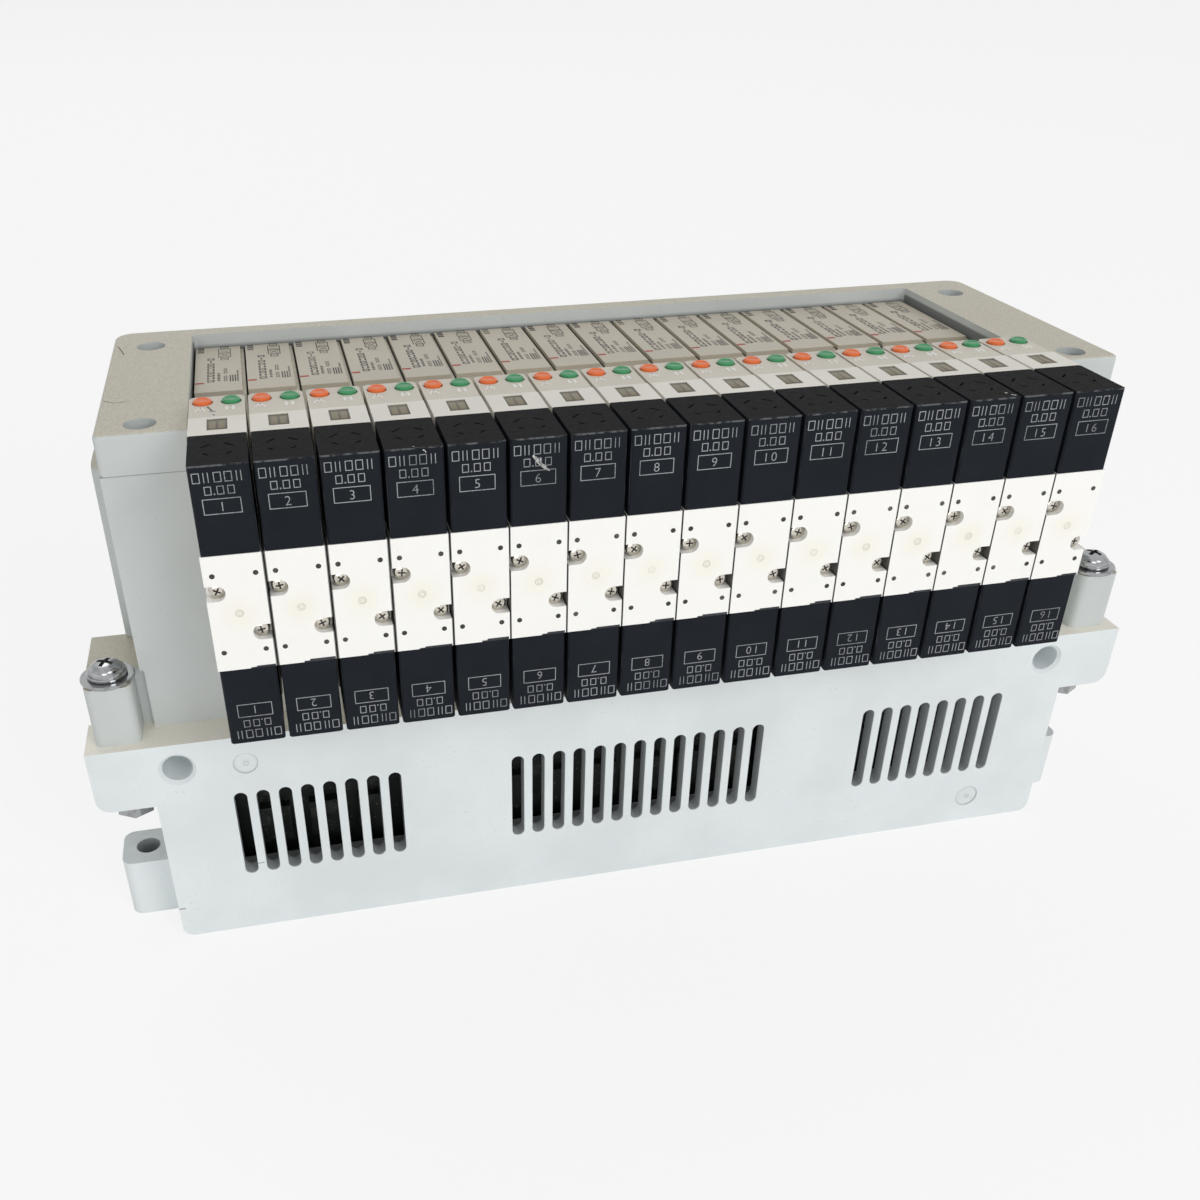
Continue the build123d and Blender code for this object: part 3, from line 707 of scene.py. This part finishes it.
class IslandScrews(bpy.types.PropertyGroup):
    """Sizes of the plate screws and of the clamping screws."""

    head: length("Head", "Radius of a plate screw's head", 1.43, 1.0, 1.44)
    height: length("Height", "Height of a plate screw's head", 2.1, 1.0, 2.6)
    dome: length("Dome", "Height of its rounded crown", 0.4, 0.1, 1.0)
    recess: length("Recess", "Length of its cross recess", 1.4, 0.5, 2.2)
    slot: length("Slot", "Width of an arm of the recess", 0.3, 0.1, 0.8)
    depth: length("Depth", "Depth of the recess", 0.7, 0.2, 1.2)
    washer: length("Washer", "Radius of the clamping screws' flat washers", 5.2, 4.5, 5.6)
    spring: length("Spring washer", "Radius of the spring washers on them", 3.85, 3.0, 4.4)
    clamp_head: length("Clamp head", "Radius of the clamping screws' heads", 3.55, 3.0, 4.5)


class IslandStudio(bpy.types.PropertyGroup):
    """Camera, lamps and floor."""

    camera_place: several(
        "Camera place",
        "Where the camera stands",
        (-0.069225, -0.236381, 0.184795),
        subtype="TRANSLATION",
        unit="LENGTH",
    )
    camera_turn: several(
        "Camera turn",
        "How the camera is turned",
        (radians(57.580072), radians(0.432135), radians(-12.188215)),
        subtype="EULER",
        unit="ROTATION",
    )
    camera_lens: amount("Lens", "Focal length", 35.9673, unit="CAMERA")
    camera_shift: several("Shift", "Lens shift across and up", (0.066653, 0.076689), size=2)
    key_power: amount("Key lamp", "Power of the large lamp", 3.6, unit="POWER")
    fill_power: amount("Front lamp", "Power of the low front lamp", 2.1, unit="POWER")
    rear_power: amount("Rear lamp", "Power of the lamp behind", 8.0, unit="POWER")
    room: amount("Room light", "Strength of the even light", 0.5, min=0.0, max=2.0)
    backdrop: share("Backdrop", "How white the room looks", 0.895)
    floor: colour("Floor", "Plain pale floor", 247, 247, 246)
    floor_glow: share("Floor glow", "How far the floor that is seen goes to white", 0.78)


# Operators


class IslandStep:
    """What every operator of the island shares."""

    bl_options = {"REGISTER", "UNDO"}


class ISLAND_OT_housing(IslandStep, bpy.types.Operator):
    """Finish the vented housing, its foot frame, the board inside and the cable connector"""

    bl_idname = "island.housing"
    bl_label = "Housing"

    def execute(self, context):
        colours = context.scene.island_colours
        # The housing's upper faces take the ledge colour: painted light.
        resin = moulded(
            "housing_plastic",
            colours.housing,
            colours.ledge,
            top_tint_from=HOUSING_HIGH.z,
            leather=0.06,
            grain=0.03,
            dark=housing_shade,
        )
        dress(resin, "housing_plastic", "front_housing", "foot_frame")
        dress(board("board_green", shade(12, 22, 17)), "board_green", "circuit_board")
        dress(plated("nickel", shade(214, 208, 196), 0.32, 0.35), "nickel", "connector_shell")
        black = moulded("black_plastic", shade(34, 34, 34), soil=0.1)
        dress(black, "black_plastic", "connector_insert")
        self.mould_marks(colours)
        return {"FINISHED"}

    def mould_marks(self, colours):
        """Shaded rims and gate points of the two ejector marks, and two hairline ticks."""
        drawing = bmesh.new()
        for x, z, radius in ((-82.9, 43.5, 2.5), (83.9, 7.2, 2.8)):
            ring(drawing, x, z, radius, 0.14, 40)
            ring(drawing, x + 0.1, z, 0.55, 0.1, 12)
        rims = placed(drawing, on_front(0, 0, HOUSING_LOW.y))
        groove = ink("mould_rim", times(colours.housing, 0.62), colours.housing, 0.9)
        piece("mould_marks", rims, groove)
        ticks = bmesh.new()
        stroke(ticks, (-101.4, 7.9), (-100.1, 7.8), 0.22)
        stroke(ticks, (-83.6, 17.4), (-82.2, 17.45), 0.18)
        hairlines = placed(ticks, on_front(0, 0, HOUSING_LOW.y))
        dark = ink("tick_dark", shade(60, 62, 64), colours.housing, 0.3)
        piece("housing_ticks", hairlines, dark)


class ISLAND_OT_end_blocks(IslandStep, bpy.types.Operator):
    """Finish the end blocks, their covers and the top frame"""

    bl_idname = "island.end_blocks"
    bl_label = "End Blocks"

    def execute(self, context):
        colours = context.scene.island_colours
        resin = moulded("end_grey", colours.ends, colours.aged, grain=0.03, dark=frame_seams)
        dress(resin, "end_grey", "top_frame", "end_block_left", "end_block_right")
        dress(resin, "end_grey", "side_plates", "end_covers")
        return {"FINISHED"}


class ISLAND_OT_ports(IslandStep, bpy.types.Operator):
    """Finish the manifold, the port block and its tube fittings"""

    bl_idname = "island.ports"
    bl_label = "Ports"

    def execute(self, context):
        colours = context.scene.island_colours
        resin = moulded("manifold_grey", colours.manifold, colours.aged, grain=0.03)
        dress(resin, "manifold_grey", "manifold_base", "port_block")
        fitting = moulded("fitting_grey", shade(205, 206, 204), grain=0.01, dark=release_sleeves)
        dress(fitting, "fitting_grey", "port_fittings", "supply_fittings")
        high = corner_mm("port_block")[1]
        numbers = bmesh.new()
        for number in NUMBERS:
            digits = number_drawing(str(number), 2.2)
            spot = Matrix.Translation((station_x(number), high.y + LIFT, high.z - 4.0))
            stamp(numbers, digits, spot @ UPSIDE_DOWN @ UP_FRONT)
            digits.free()
        print_ink = ink("port_ink", shade(70, 72, 74), colours.manifold, 0.5)
        piece("port_numbers", numbers, print_ink)
        return {"FINISHED"}


class ISLAND_OT_clamps(IslandStep, bpy.types.Operator):
    """Add the clamping screws' stems, domed heads and washers, and finish the nuts"""

    bl_idname = "island.clamps"
    bl_label = "Clamping Screws"
    cad_head = 4.0
    cad_stack = 4.8
    shank = 2.0
    thick = 0.8
    hole = 2.15
    lean = 28

    def execute(self, context):
        colours = context.scene.island_colours
        screws = context.scene.island_screws
        steel = plated("chrome_screw", colours.steel, 0.12, 0.8)
        dress(steel, "chrome_screw", "clamp_nuts")
        low, high = corner_mm("clamp_screws")
        middle = Vector((high.x - self.cad_head, (low.y + high.y) / 2, 0))
        nut = corner_mm("clamp_nuts")[1].z
        ear = corner_mm("clamp_washers")[0].z
        seat = high.z - self.cad_stack
        top = seat + self.thick
        foot, shank = low.z, self.shank
        stem = [(0, foot), (shank - 0.4, foot), (shank, foot + 0.5), (shank, seat), (0, seat)]
        parts = [
            lathe(stem, 20),
            self.washer(seat, top, mm(screws.washer), 0.2),
            self.washer(top, top + self.thick, mm(screws.spring), 0.25),
            self.washer(nut, ear + 1.0, 3.6, 0.1),
        ]
        head = self.head(mm(screws.clamp_head))
        made = bmesh.new()
        for side in (-1, 1):
            spot = Matrix.Translation((side * middle.x, middle.y, 0))
            for part in parts:
                stamp(made, part, spot)
            turn = Matrix.Rotation(radians(self.lean * side), 4, "Z")
            stamp(made, head, spot @ Matrix.Translation((0, 0, top + self.thick)) @ turn)
        for part in (*parts, head):
            part.free()
        # The faces of the cross recess get a flat dark colour: painted shade.
        recess = ink("clamp_recess_painted_shade", shade(58, 58, 60), shade(140, 140, 140), 0.6)
        heads = piece("clamp_hardware", made, steel, smooth=True, inside=recess)
        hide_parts("clamp_screws", "clamp_washers")
        return {"FINISHED"}

    def washer(self, low, high, radius, edge):
        """A washer in millimetres between two heights, with eased outer edges."""
        hole = self.hole
        section = [(hole, low), (radius - edge, low), (radius, low + edge)]
        section += [(radius, high - edge), (radius - edge, high), (hole, high), (hole, low)]
        return lathe(section, 40)

    def head(self, rim):
        """One domed head in millimetres with its seat at z 0, a rim step and a cross recess."""
        flank = [(0, 0), (rim, 0), (rim, 0.5), (rim - 0.2, 0.7)]
        bm = lathe(flank + crown(rim - 0.45, 0.75, 1.45, 8), 40)
        return cross_cut(bm, 3.4, 0.85, 2.2, 1.2)


class ISLAND_OT_valves(IslandStep, bpy.types.Operator):
    """Finish the valve bodies and gaskets"""

    bl_idname = "island.valves"
    bl_label = "Valve Bodies"

    def execute(self, context):
        colours = context.scene.island_colours
        body = moulded("valve_beige", colours.valves, colours.aged, soil=0.45, dark=valve_joints)
        dress(body, "valve_beige", "valve_bodies")
        dress(rubber("gasket_rubber", shade(48, 48, 47)), "gasket_rubber", "valve_gaskets")
        return {"FINISHED"}


class ISLAND_OT_labels(IslandStep, bpy.types.Operator):
    """Finish the label plates and add their plain print"""

    bl_idname = "island.labels"
    bl_label = "Labels"

    def execute(self, context):
        colours = context.scene.island_colours
        marks = context.scene.island_marks
        plate = moulded("label_beige", colours.labels, roughness=0.42, grain=0.006, soil=0.5)
        dress(plate, "label_beige", "label_plates")
        spot = on_top(0, 0, LABEL_HIGH.z)
        dark = at_stations(self.print_drawing(marks), spot)
        dash = bmesh.new()
        bar(dash, -4.1, LABEL_LOW.y + 5.8, 1.8, 0.85)
        red = at_stations(dash, spot)
        dark_ink = ink("label_ink", colours.dark_ink, colours.labels, marks.wear * 0.6)
        piece("label_print", dark, dark_ink)
        red_ink = ink("label_red", colours.red_ink, colours.labels, 0.05)
        piece("label_dashes", red, red_ink)
        return {"FINISHED"}

    def print_drawing(self, marks):
        """Bars, a dash column and a two-position valve symbol, for one label."""
        drawing = bmesh.new()
        front = LABEL_LOW.y
        for step in range(9):
            y = front + 6.9 + step * 1.87
            if step == 7:
                bar(drawing, -1.85, y, 0.35, 1.1)
            elif step % 3 == 1:
                bar(drawing, -2.4, y, 0.4, 1.4)
                bar(drawing, -1.3, y, 0.4, 1.4)
            else:
                outline(drawing, -1.85, y, mm(marks.bold), 1.4, 0.34)
        for step in range(5):
            bar(drawing, -0.25, front + 7.1 + step * 1.1, 0.55, 0.7)
        for step in range(7):
            if step != 3:
                outline(drawing, 1.1, front + 6.9 + step * 1.25, 0.7, 0.85, 0.16)
        for row in (2.1, 2.6, 3.1):
            bar(drawing, row - 0.05, front + 8.05, 0.28, 4.2)
        for step in range(8):
            bar(drawing, 3.55, front + 6.5 + step * 0.92, 0.36, 0.6)
        self.symbol(drawing, 1.0, front + 26.05)
        for step in range(3):
            bar(drawing, -3.95, front + 27.4 + step * 1.35, 1.35, 0.95)
        return drawing

    def symbol(self, drawing, x, y):
        """Two squares with flow arrows between two actuators."""
        line = 0.22
        for side in (-1, 1):
            outline(drawing, x, y + side * 1.6, 2.7, 3.2, line)
            outline(drawing, x, y + side * 4.15, 1.7, 1.9, line)
            stroke(drawing, (x - 0.4, y + side * 3.9), (x + 0.5, y + side * 4.5), line)
        stroke(drawing, (x - 0.9, y - 2.6), (x + 0.9, y - 0.6), line)
        stroke(drawing, (x + 0.9, y - 2.6), (x - 0.9, y - 0.6), line)
        stroke(drawing, (x - 0.9, y + 0.9), (x + 0.9, y + 0.9), line)
        stroke(drawing, (x - 0.9, y + 2.3), (x + 0.9, y + 2.3), line)


class ISLAND_OT_lamp_covers(IslandStep, bpy.types.Operator):
    """Finish the white covers, their windows and the lamps under them"""

    bl_idname = "island.lamp_covers"
    bl_label = "Lamp Covers"

    def execute(self, context):
        colours = context.scene.island_colours
        cover = moulded("lamp_cover_white", colours.covers, grain=0.015, soil=0.3)
        dress(cover, "lamp_cover_white", "lamp_covers")
        lens = smoked_resin("lens_smoke", shade(78, 71, 52), shade(134, 123, 94))
        wide = 2 * (station_x(1) - LENS_LOW.x)
        size = (wide, LENS_HIGH.y - LENS_LOW.y, 1.0, 1)
        shape = bmesh.new()
        bmesh.ops.create_cube(shape, size=1, matrix=Matrix.Diagonal(size))
        rim = [edge for edge in shape.edges if all(v.co.z > 0 for v in edge.verts)]
        bmesh.ops.bevel(
            shape, geom=rim, offset=0.12, segments=2, profile=0.5, affect="EDGES", material=-1
        )
        lenses = at_stations(shape, Matrix.Translation((0, LENS_MIDDLE, TOP - 0.62)))
        made = piece("window_glass", lenses, lens, smooth=True)
        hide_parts("window_lenses")
        dress(clear_resin("lamp_clear", shade(236, 230, 210), 0.2, 0.2), "lamp_clear", "lamps")
        return {"FINISHED"}


class ISLAND_OT_overrides(IslandStep, bpy.types.Operator):
    """Finish the override plates and buttons and add the marks beside them"""

    bl_idname = "island.overrides"
    bl_label = "Overrides"

    def execute(self, context):
        colours = context.scene.island_colours
        plate = moulded("override_grey", colours.overrides, grain=0.015, soil=0.5)
        dress(plate, "override_grey", "override_plates")
        orange = glossy("button_orange", colours.orange)
        green = glossy("button_green", colours.green)
        for number in NUMBERS:
            dress(orange, "button_orange", f"override_a_{number:02d}")
            dress(green, "button_green", f"override_b_{number:02d}")
        drawing = bmesh.new()
        chevron = [(-3.75, 27.0), (-2.9, 28.9), (-2.05, 27.0)]
        path(drawing, [(x, FRONT + y) for x, y in chevron], 0.45)
        bar(drawing, -2.9, FRONT + 27.6, 1.0, 0.4)
        for x in (1.75, 2.85):
            bar(drawing, x, FRONT + 27.9, 0.5, 1.9)
        bar(drawing, 2.3, FRONT + 27.9, 0.8, 0.4)
        white = at_stations(drawing, on_top(0, 0, OVERRIDE_HIGH.z))
        paint = ink("override_ink", shade(250, 249, 245), colours.overrides, 0.3)
        piece("override_marks", white, paint)
        return {"FINISHED"}


class ISLAND_OT_coils(IslandStep, bpy.types.Operator):
    """Finish the pilot coils and add their marks and station numbers"""

    bl_idname = "island.coils"
    bl_label = "Coils"

    def execute(self, context):
        colours = context.scene.island_colours
        marks = context.scene.island_marks
        resin = coil_resin("coil_black", colours.coils, colours.worn)
        dress(resin, "coil_black", "upper_pilots", "lower_pilots")
        rows = self.rows_drawing(marks)
        laser = bmesh.new()
        for number in NUMBERS:
            digits = number_drawing(str(number), mm(marks.digit), 0.03, 1.25)
            bmesh.ops.translate(digits, verts=digits.verts, vec=(-0.15, -7.07, 0))
            upper = on_front(station_x(number), TOP)
            lower = on_front(station_x(number), STACK_LOW.z) @ UPSIDE_DOWN
            for drawing in (rows, digits):
                stamp(laser, drawing, upper)
                stamp(laser, drawing, lower)
            digits.free()
        rows.free()
        mark = ink("coil_ink", colours.coil_ink, colours.coils, marks.wear)
        piece("coil_marks", laser, mark)
        return {"FINISHED"}

    def rows_drawing(self, marks):
        """Two rows of hollow bars over a box, below a coil's top edge."""
        drawing = bmesh.new()
        line = mm(marks.line)
        for x, kind in zip((-3.7, -2.1, -0.3, 1.4, 3.1), "OIOOI"):
            if kind == "O":
                outline(drawing, x, -2.02, 1.25, 1.75, line)
            else:
                bar(drawing, x - 0.35, -2.02, line, 1.75)
                bar(drawing, x + 0.35, -2.02, line, 1.75)
        for x in (-2.1, -0.1, 1.6):
            outline(drawing, x, -4.27, 1.15, 1.5, line)
        bar(drawing, -1.1, -4.9, 0.24, 0.24)
        outline(drawing, -0.15, -7.05, mm(marks.box_width), mm(marks.box_height), line)
        return drawing


class ISLAND_OT_pilot_plates(IslandStep, bpy.types.Operator):
    """Finish the white pilot plates and add their gate circles, painted shade over the small
    holes, and lips
    """

    bl_idname = "island.pilot_plates"
    bl_label = "Pilot Plates"

    def execute(self, context):
        colours = context.scene.island_colours
        resin = plate_resin("plate_white", colours.plates, colours.plate_tint)
        dress(resin, "plate_white", "pilot_plates")
        drawing = bmesh.new()
        ring(drawing, 0, 0, 0.72, 0.12)
        ring(drawing, 0.05, -0.03, 0.4, 0.1)
        circles = at_stations(drawing, on_front(0, PLATE_MIDDLE, PLATE_LOW.y))
        line = ink("plate_line", shade(200, 194, 172), colours.plates, 0.6)
        piece("plate_circles", circles, line)
        self.pins()
        self.lips(colours)
        return {"FINISHED"}

    def pins(self):
        """Dark discs over the four small holes of each plate: painted shade."""
        drawing = bmesh.new()
        for side in (-1, 1):
            for high in (-1, 1):
                disc(drawing, side * 3.6, high * 7.4, 0.47)
        pins = at_stations(drawing, on_front(0, PLATE_MIDDLE, PLATE_LOW.y))
        # A flat dark colour over the hole mouths: painted shade.
        painted_hole_shade = ink("hole_painted_shade", shade(42, 40, 38), shade(150, 146, 138), 0.35)
        piece("plate_hole_discs", pins, painted_hole_shade)

    def lips(self, colours):
        """The lower coils' raised half edge, which covers a little of each plate."""
        lips = bmesh.new()
        end = 4.9
        for number in NUMBERS:
            start = (0.9, 1.6, 0.4, 1.2, 0.0)[number % 5]
            rise = (0.5, 0.4, 0.55)[number % 3]
            drawing = bmesh.new()
            bar(drawing, (start + end) / 2, rise / 2, end - start, rise)
            bar(drawing, start - 0.5, rise / 4, 1.0, rise / 2)
            stamp(lips, drawing, on_front(station_x(number), PLATE_LOW.z, PLATE_LOW.y))
            drawing.free()
        resin = ink("lip_resin", colours.coils, colours.worn, 0.2)
        piece("coil_lips", lips, resin)


class ISLAND_OT_plate_screws(IslandStep, bpy.types.Operator):
    """Replace the pilot plates' screws with domed heads that have a cross recess"""

    bl_idname = "island.plate_screws"
    bl_label = "Plate Screws"
    first_turn = 25
    upper_turn = 37
    lower_turn = 11

    def execute(self, context):
        screws = context.scene.island_screws
        head = self.head(screws)
        heads = bmesh.new()
        left = SCREW_LOW.x + SEAT_RADIUS - station_x(1)
        high = SCREW_HIGH.z - SEAT_RADIUS
        low = SCREW_LOW.z + SEAT_RADIUS
        for number in NUMBERS:
            upper = (left, high, self.first_turn + self.upper_turn * number)
            for x, z, turn in (upper, (-left, low, self.lower_turn * number)):
                spot = Matrix.Translation((station_x(number) + x, SCREW_HIGH.y, z)) @ UP_FRONT
                stamp(heads, head, spot @ Matrix.Rotation(radians(turn), 4, "Z"))
        head.free()
        steel = plated("screw_nickel", shade(214, 209, 198), 0.1, 0.75)
        # The faces of the cross recess get a flat dark colour: painted shade.
        recess = ink("recess_painted_shade", shade(84, 80, 73), shade(170, 166, 156), 0.6)
        made = piece("plate_screw_heads", heads, steel, smooth=True, inside=recess)
        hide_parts("plate_screws")
        return {"FINISHED"}

    def head(self, screws):
        """One screw head in millimetres, its seat at z 0 and its crown up, with a cross cut."""
        radius, height, dome = mm(screws.head), mm(screws.height), mm(screws.dome)
        bm = lathe([(0, 0), (radius, 0)] + crown(radius, height - dome, dome, 6), 24)
        return cross_cut(bm, mm(screws.recess), mm(screws.slot), height, mm(screws.depth))


def crown(radius, foot, rise, steps):
    """Points of a half section of a rounded crown, from its rim to its middle."""
    turns = [step / steps * pi / 2 for step in range(steps + 1)]
    return [(radius * cos(turn), foot + rise * sin(turn)) for turn in turns]


def cross_cut(solid, long, wide, top, deep):
    """Cuts a cross recess into a head. The faces that the cut makes get the second material."""
    cutter = bmesh.new()
    for size in ((long, wide), (wide, long)):
        spot = Matrix.Translation((0, 0, top)) @ Matrix.Diagonal((*size, deep * 2, 1))
        bmesh.ops.create_cube(cutter, size=1, matrix=spot)
    for face in cutter.faces:
        face.material_index = 1
    makers = []
    for name, bm in (("solid", solid), ("cutter", cutter)):
        mesh = mesh_of(name, bm)
        mesh.materials.append(None)
        mesh.materials.append(None)
        makers.append(add_object(name, mesh))
    used = [maker.data for maker in makers]
    cut = makers[0].modifiers.new("cut", "BOOLEAN")
    cut.operation = "DIFFERENCE"
    cut.solver = "EXACT"
    cut.use_self = True
    cut.material_mode = "INDEX"
    cut.object = makers[1]
    left = worked_out(makers[0])
    bpy.data.objects.remove(makers[1])
    for mesh in used:
        bpy.data.meshes.remove(mesh)
    return left


class ISLAND_OT_wear(IslandStep, bpy.types.Operator):
    """Add the scratches, chips and hairlines of a used island"""

    bl_idname = "island.wear"
    bl_label = "Wear"

    front_scratches = [
        ([(-27.3, 110.5), (-26.5, 109.2), (-25.2, 108.0), (-24.4, 107.6)], 0.34),
        ([(-26.9, 110.2), (-26.0, 109.0), (-25.0, 108.2)], 0.26),
        ([(-25.9, 109.9), (-26.3, 109.0)], 0.2),
        ([(-45.8, 113.1), (-45.4, 112.9)], 0.2),
        ([(-45.5, 113.0), (-45.3, 112.6)], 0.16),
    ]
    top_scratches = [
        ([(60.9, -47.2), (61.2, -47.6)], 0.4),
        ([(61.5, -48.4), (61.8, -49.0), (62.2, -48.9)], 0.3),
        ([(-47.4, -49.2), (-47.1, -49.4)], 0.2),
    ]
    override_scratches = [
        ([(-80.45, -20.67), (-79.6, -23.2)], 0.3),
        ([(-80.1, -23.3), (-78.95, -23.55)], 0.32),
        ([(-79.54, -25.07), (-79.1, -25.63)], 0.28),
    ]
    block_hairlines = [
        ([(-99.5, 29.5), (-98.9, 27.6), (-98.3, 25.3), (-97.9, 23.3)], 0.22),
        ([(-99.9, -5.9), (-98.8, -7.0), (-97.6, -7.6), (-96.4, -7.5), (-95.3, -7.0)], 0.16),
    ]

    def execute(self, context):
        colours = context.scene.island_colours
        pale = bmesh.new()
        self.scratches(pale, self.front_scratches, on_front(0, 0))
        self.scratches(pale, self.top_scratches, on_top(0, 0, TOP))
        white = ink("scratch_white", shade(206, 206, 204), colours.coils, 0.35)
        piece("coil_scratches", pale, white)
        dark = bmesh.new()
        self.scratches(dark, self.override_scratches, on_top(0, 0, OVERRIDE_HIGH.z))
        self.scratches(dark, self.block_hairlines, on_top(0, 0, FRAME_HIGH.z))
        black = ink("scratch_dark", shade(60, 60, 60), colours.ends, 0.3)
        piece("dark_hairlines", dark, black)
        return {"FINISHED"}

    def scratches(self, bm, lines, place):
        """Adds scratches to one face."""
        drawing = bmesh.new()
        for points, width in lines:
            path(drawing, points, width)
        stamp(bm, drawing, place)
        drawing.free()


class ISLAND_OT_stage(IslandStep, bpy.types.Operator):
    """Add the floor, the soft lamps, the room light and the camera"""

    bl_idname = "island.stage"
    bl_label = "Stage"

    def execute(self, context):
        studio = context.scene.island_studio
        self.floor(studio)
        self.lamp("key_lamp", (0.45, -0.95, 0.62), 0.55, studio.key_power)
        self.lamp("front_lamp", (-0.25, -1.05, 0.22), 0.6, studio.fill_power)
        self.lamp("rear_lamp", (-0.6, 1.6, 2.2), 1.4, studio.rear_power)
        self.room(context.scene, studio)
        self.camera(context.scene, studio)
        context.scene.view_settings.view_transform = "Standard"
        return {"FINISHED"}

    def floor(self, studio):
        """A wide plain floor."""
        bm = bmesh.new()
        bmesh.ops.create_grid(bm, x_segments=1, y_segments=1, size=20.0)
        mesh = mesh_of("floor", bm)
        mesh.materials.append(self.floor_paint(studio))
        made = add_object("floor", mesh)

    def floor_paint(self, studio):
        """Pale matt paint that the camera, metal and glass see paler than the lamps make it."""
        finish = Finish(bpy.data.materials.new("floor_pale"))
        matt = {"Base Color": studio.floor, "Roughness": 0.9}
        lit = finish.node("ShaderNodeBsdfPrincipled", values=matt)
        glow = finish.node("ShaderNodeEmission", values={"Color": (1, 1, 1), "Strength": 1.0})
        seen = finish.seen_rays() * studio.floor_glow
        return finish.end(finish.node("ShaderNodeMixShader", values={0: seen, 1: lit, 2: glow}))

    def lamp(self, name, place, size, power):
        """A large soft lamp that looks at the middle of the island."""
        light = bpy.data.lights.new(name, "AREA")
        light.shape = "DISK"
        light.size = size
        light.energy = power
        made = add_object(name, light)
        made.location = place
        aim = Vector((0, 0, 0.05)) - made.location
        made.rotation_euler = aim.to_track_quat("-Z", "Y").to_euler()

    def room(self, scene, studio):
        """Even light, with a white room for what the camera, metal and glass see."""
        finish = Finish(bpy.data.worlds.new("room"))
        seen = finish.seen_rays()
        level = seen * studio.backdrop + (1 - seen) * studio.room
        sky = finish.node("ShaderNodeBackground", values={"Color": (1, 1, 1), "Strength": level})
        scene.world = finish.end(sky, "ShaderNodeOutputWorld")

    def camera(self, scene, studio):
        """The camera, which looks down on the front from the left."""
        data = bpy.data.cameras.new("camera")
        data.sensor_width = SENSOR_WIDTH
        data.lens = studio.camera_lens
        data.shift_x, data.shift_y = studio.camera_shift
        data.clip_start = 0.01
        data.clip_end = 100
        made = add_object("camera", data)
        made.location = studio.camera_place
        made.rotation_euler = studio.camera_turn
        scene.camera = made


PIECES = (
    ISLAND_OT_housing,
    ISLAND_OT_end_blocks,
    ISLAND_OT_ports,
    ISLAND_OT_clamps,
    ISLAND_OT_valves,
    ISLAND_OT_labels,
    ISLAND_OT_lamp_covers,
    ISLAND_OT_overrides,
    ISLAND_OT_coils,
    ISLAND_OT_pilot_plates,
    ISLAND_OT_plate_screws,
    ISLAND_OT_wear,
    ISLAND_OT_stage,
)


class ISLAND_PT_panel(bpy.types.Panel):
    """Lists the pieces of the valve island"""

    bl_label = "Valve Island"
    bl_idname = "ISLAND_PT_panel"
    bl_space_type = "VIEW_3D"
    bl_region_type = "UI"
    bl_category = "Valve Island"

    def draw(self, context):
        """Draws one button for each operator."""
        for operator in PIECES:
            self.layout.operator(operator.bl_idname)


SETTINGS = {
    "island_colours": IslandColours,
    "island_marks": IslandMarks,
    "island_screws": IslandScrews,
    "island_studio": IslandStudio,
}


def register():
    """Registers the settings, the operators and the panel."""
    for name, group in SETTINGS.items():
        bpy.utils.register_class(group)
        setattr(bpy.types.Scene, name, bpy.props.PointerProperty(type=group))
    for operator in PIECES:
        bpy.utils.register_class(operator)
    bpy.utils.register_class(ISLAND_PT_panel)


def unregister():
    """Takes them away again."""
    bpy.utils.unregister_class(ISLAND_PT_panel)
    for operator in reversed(PIECES):
        bpy.utils.unregister_class(operator)
    for name, group in SETTINGS.items():
        delattr(bpy.types.Scene, name)
        bpy.utils.unregister_class(group)


def main():
    """Builds the whole island."""
    register()
    bpy.ops.island.housing()
    bpy.ops.island.end_blocks()
    bpy.ops.island.ports()
    bpy.ops.island.clamps()
    bpy.ops.island.valves()
    bpy.ops.island.labels()
    bpy.ops.island.lamp_covers()
    bpy.ops.island.overrides()
    bpy.ops.island.coils()
    bpy.ops.island.pilot_plates()
    bpy.ops.island.plate_screws()
    bpy.ops.island.wear()
    bpy.ops.island.stage()


if __name__ == "__main__":
    main()
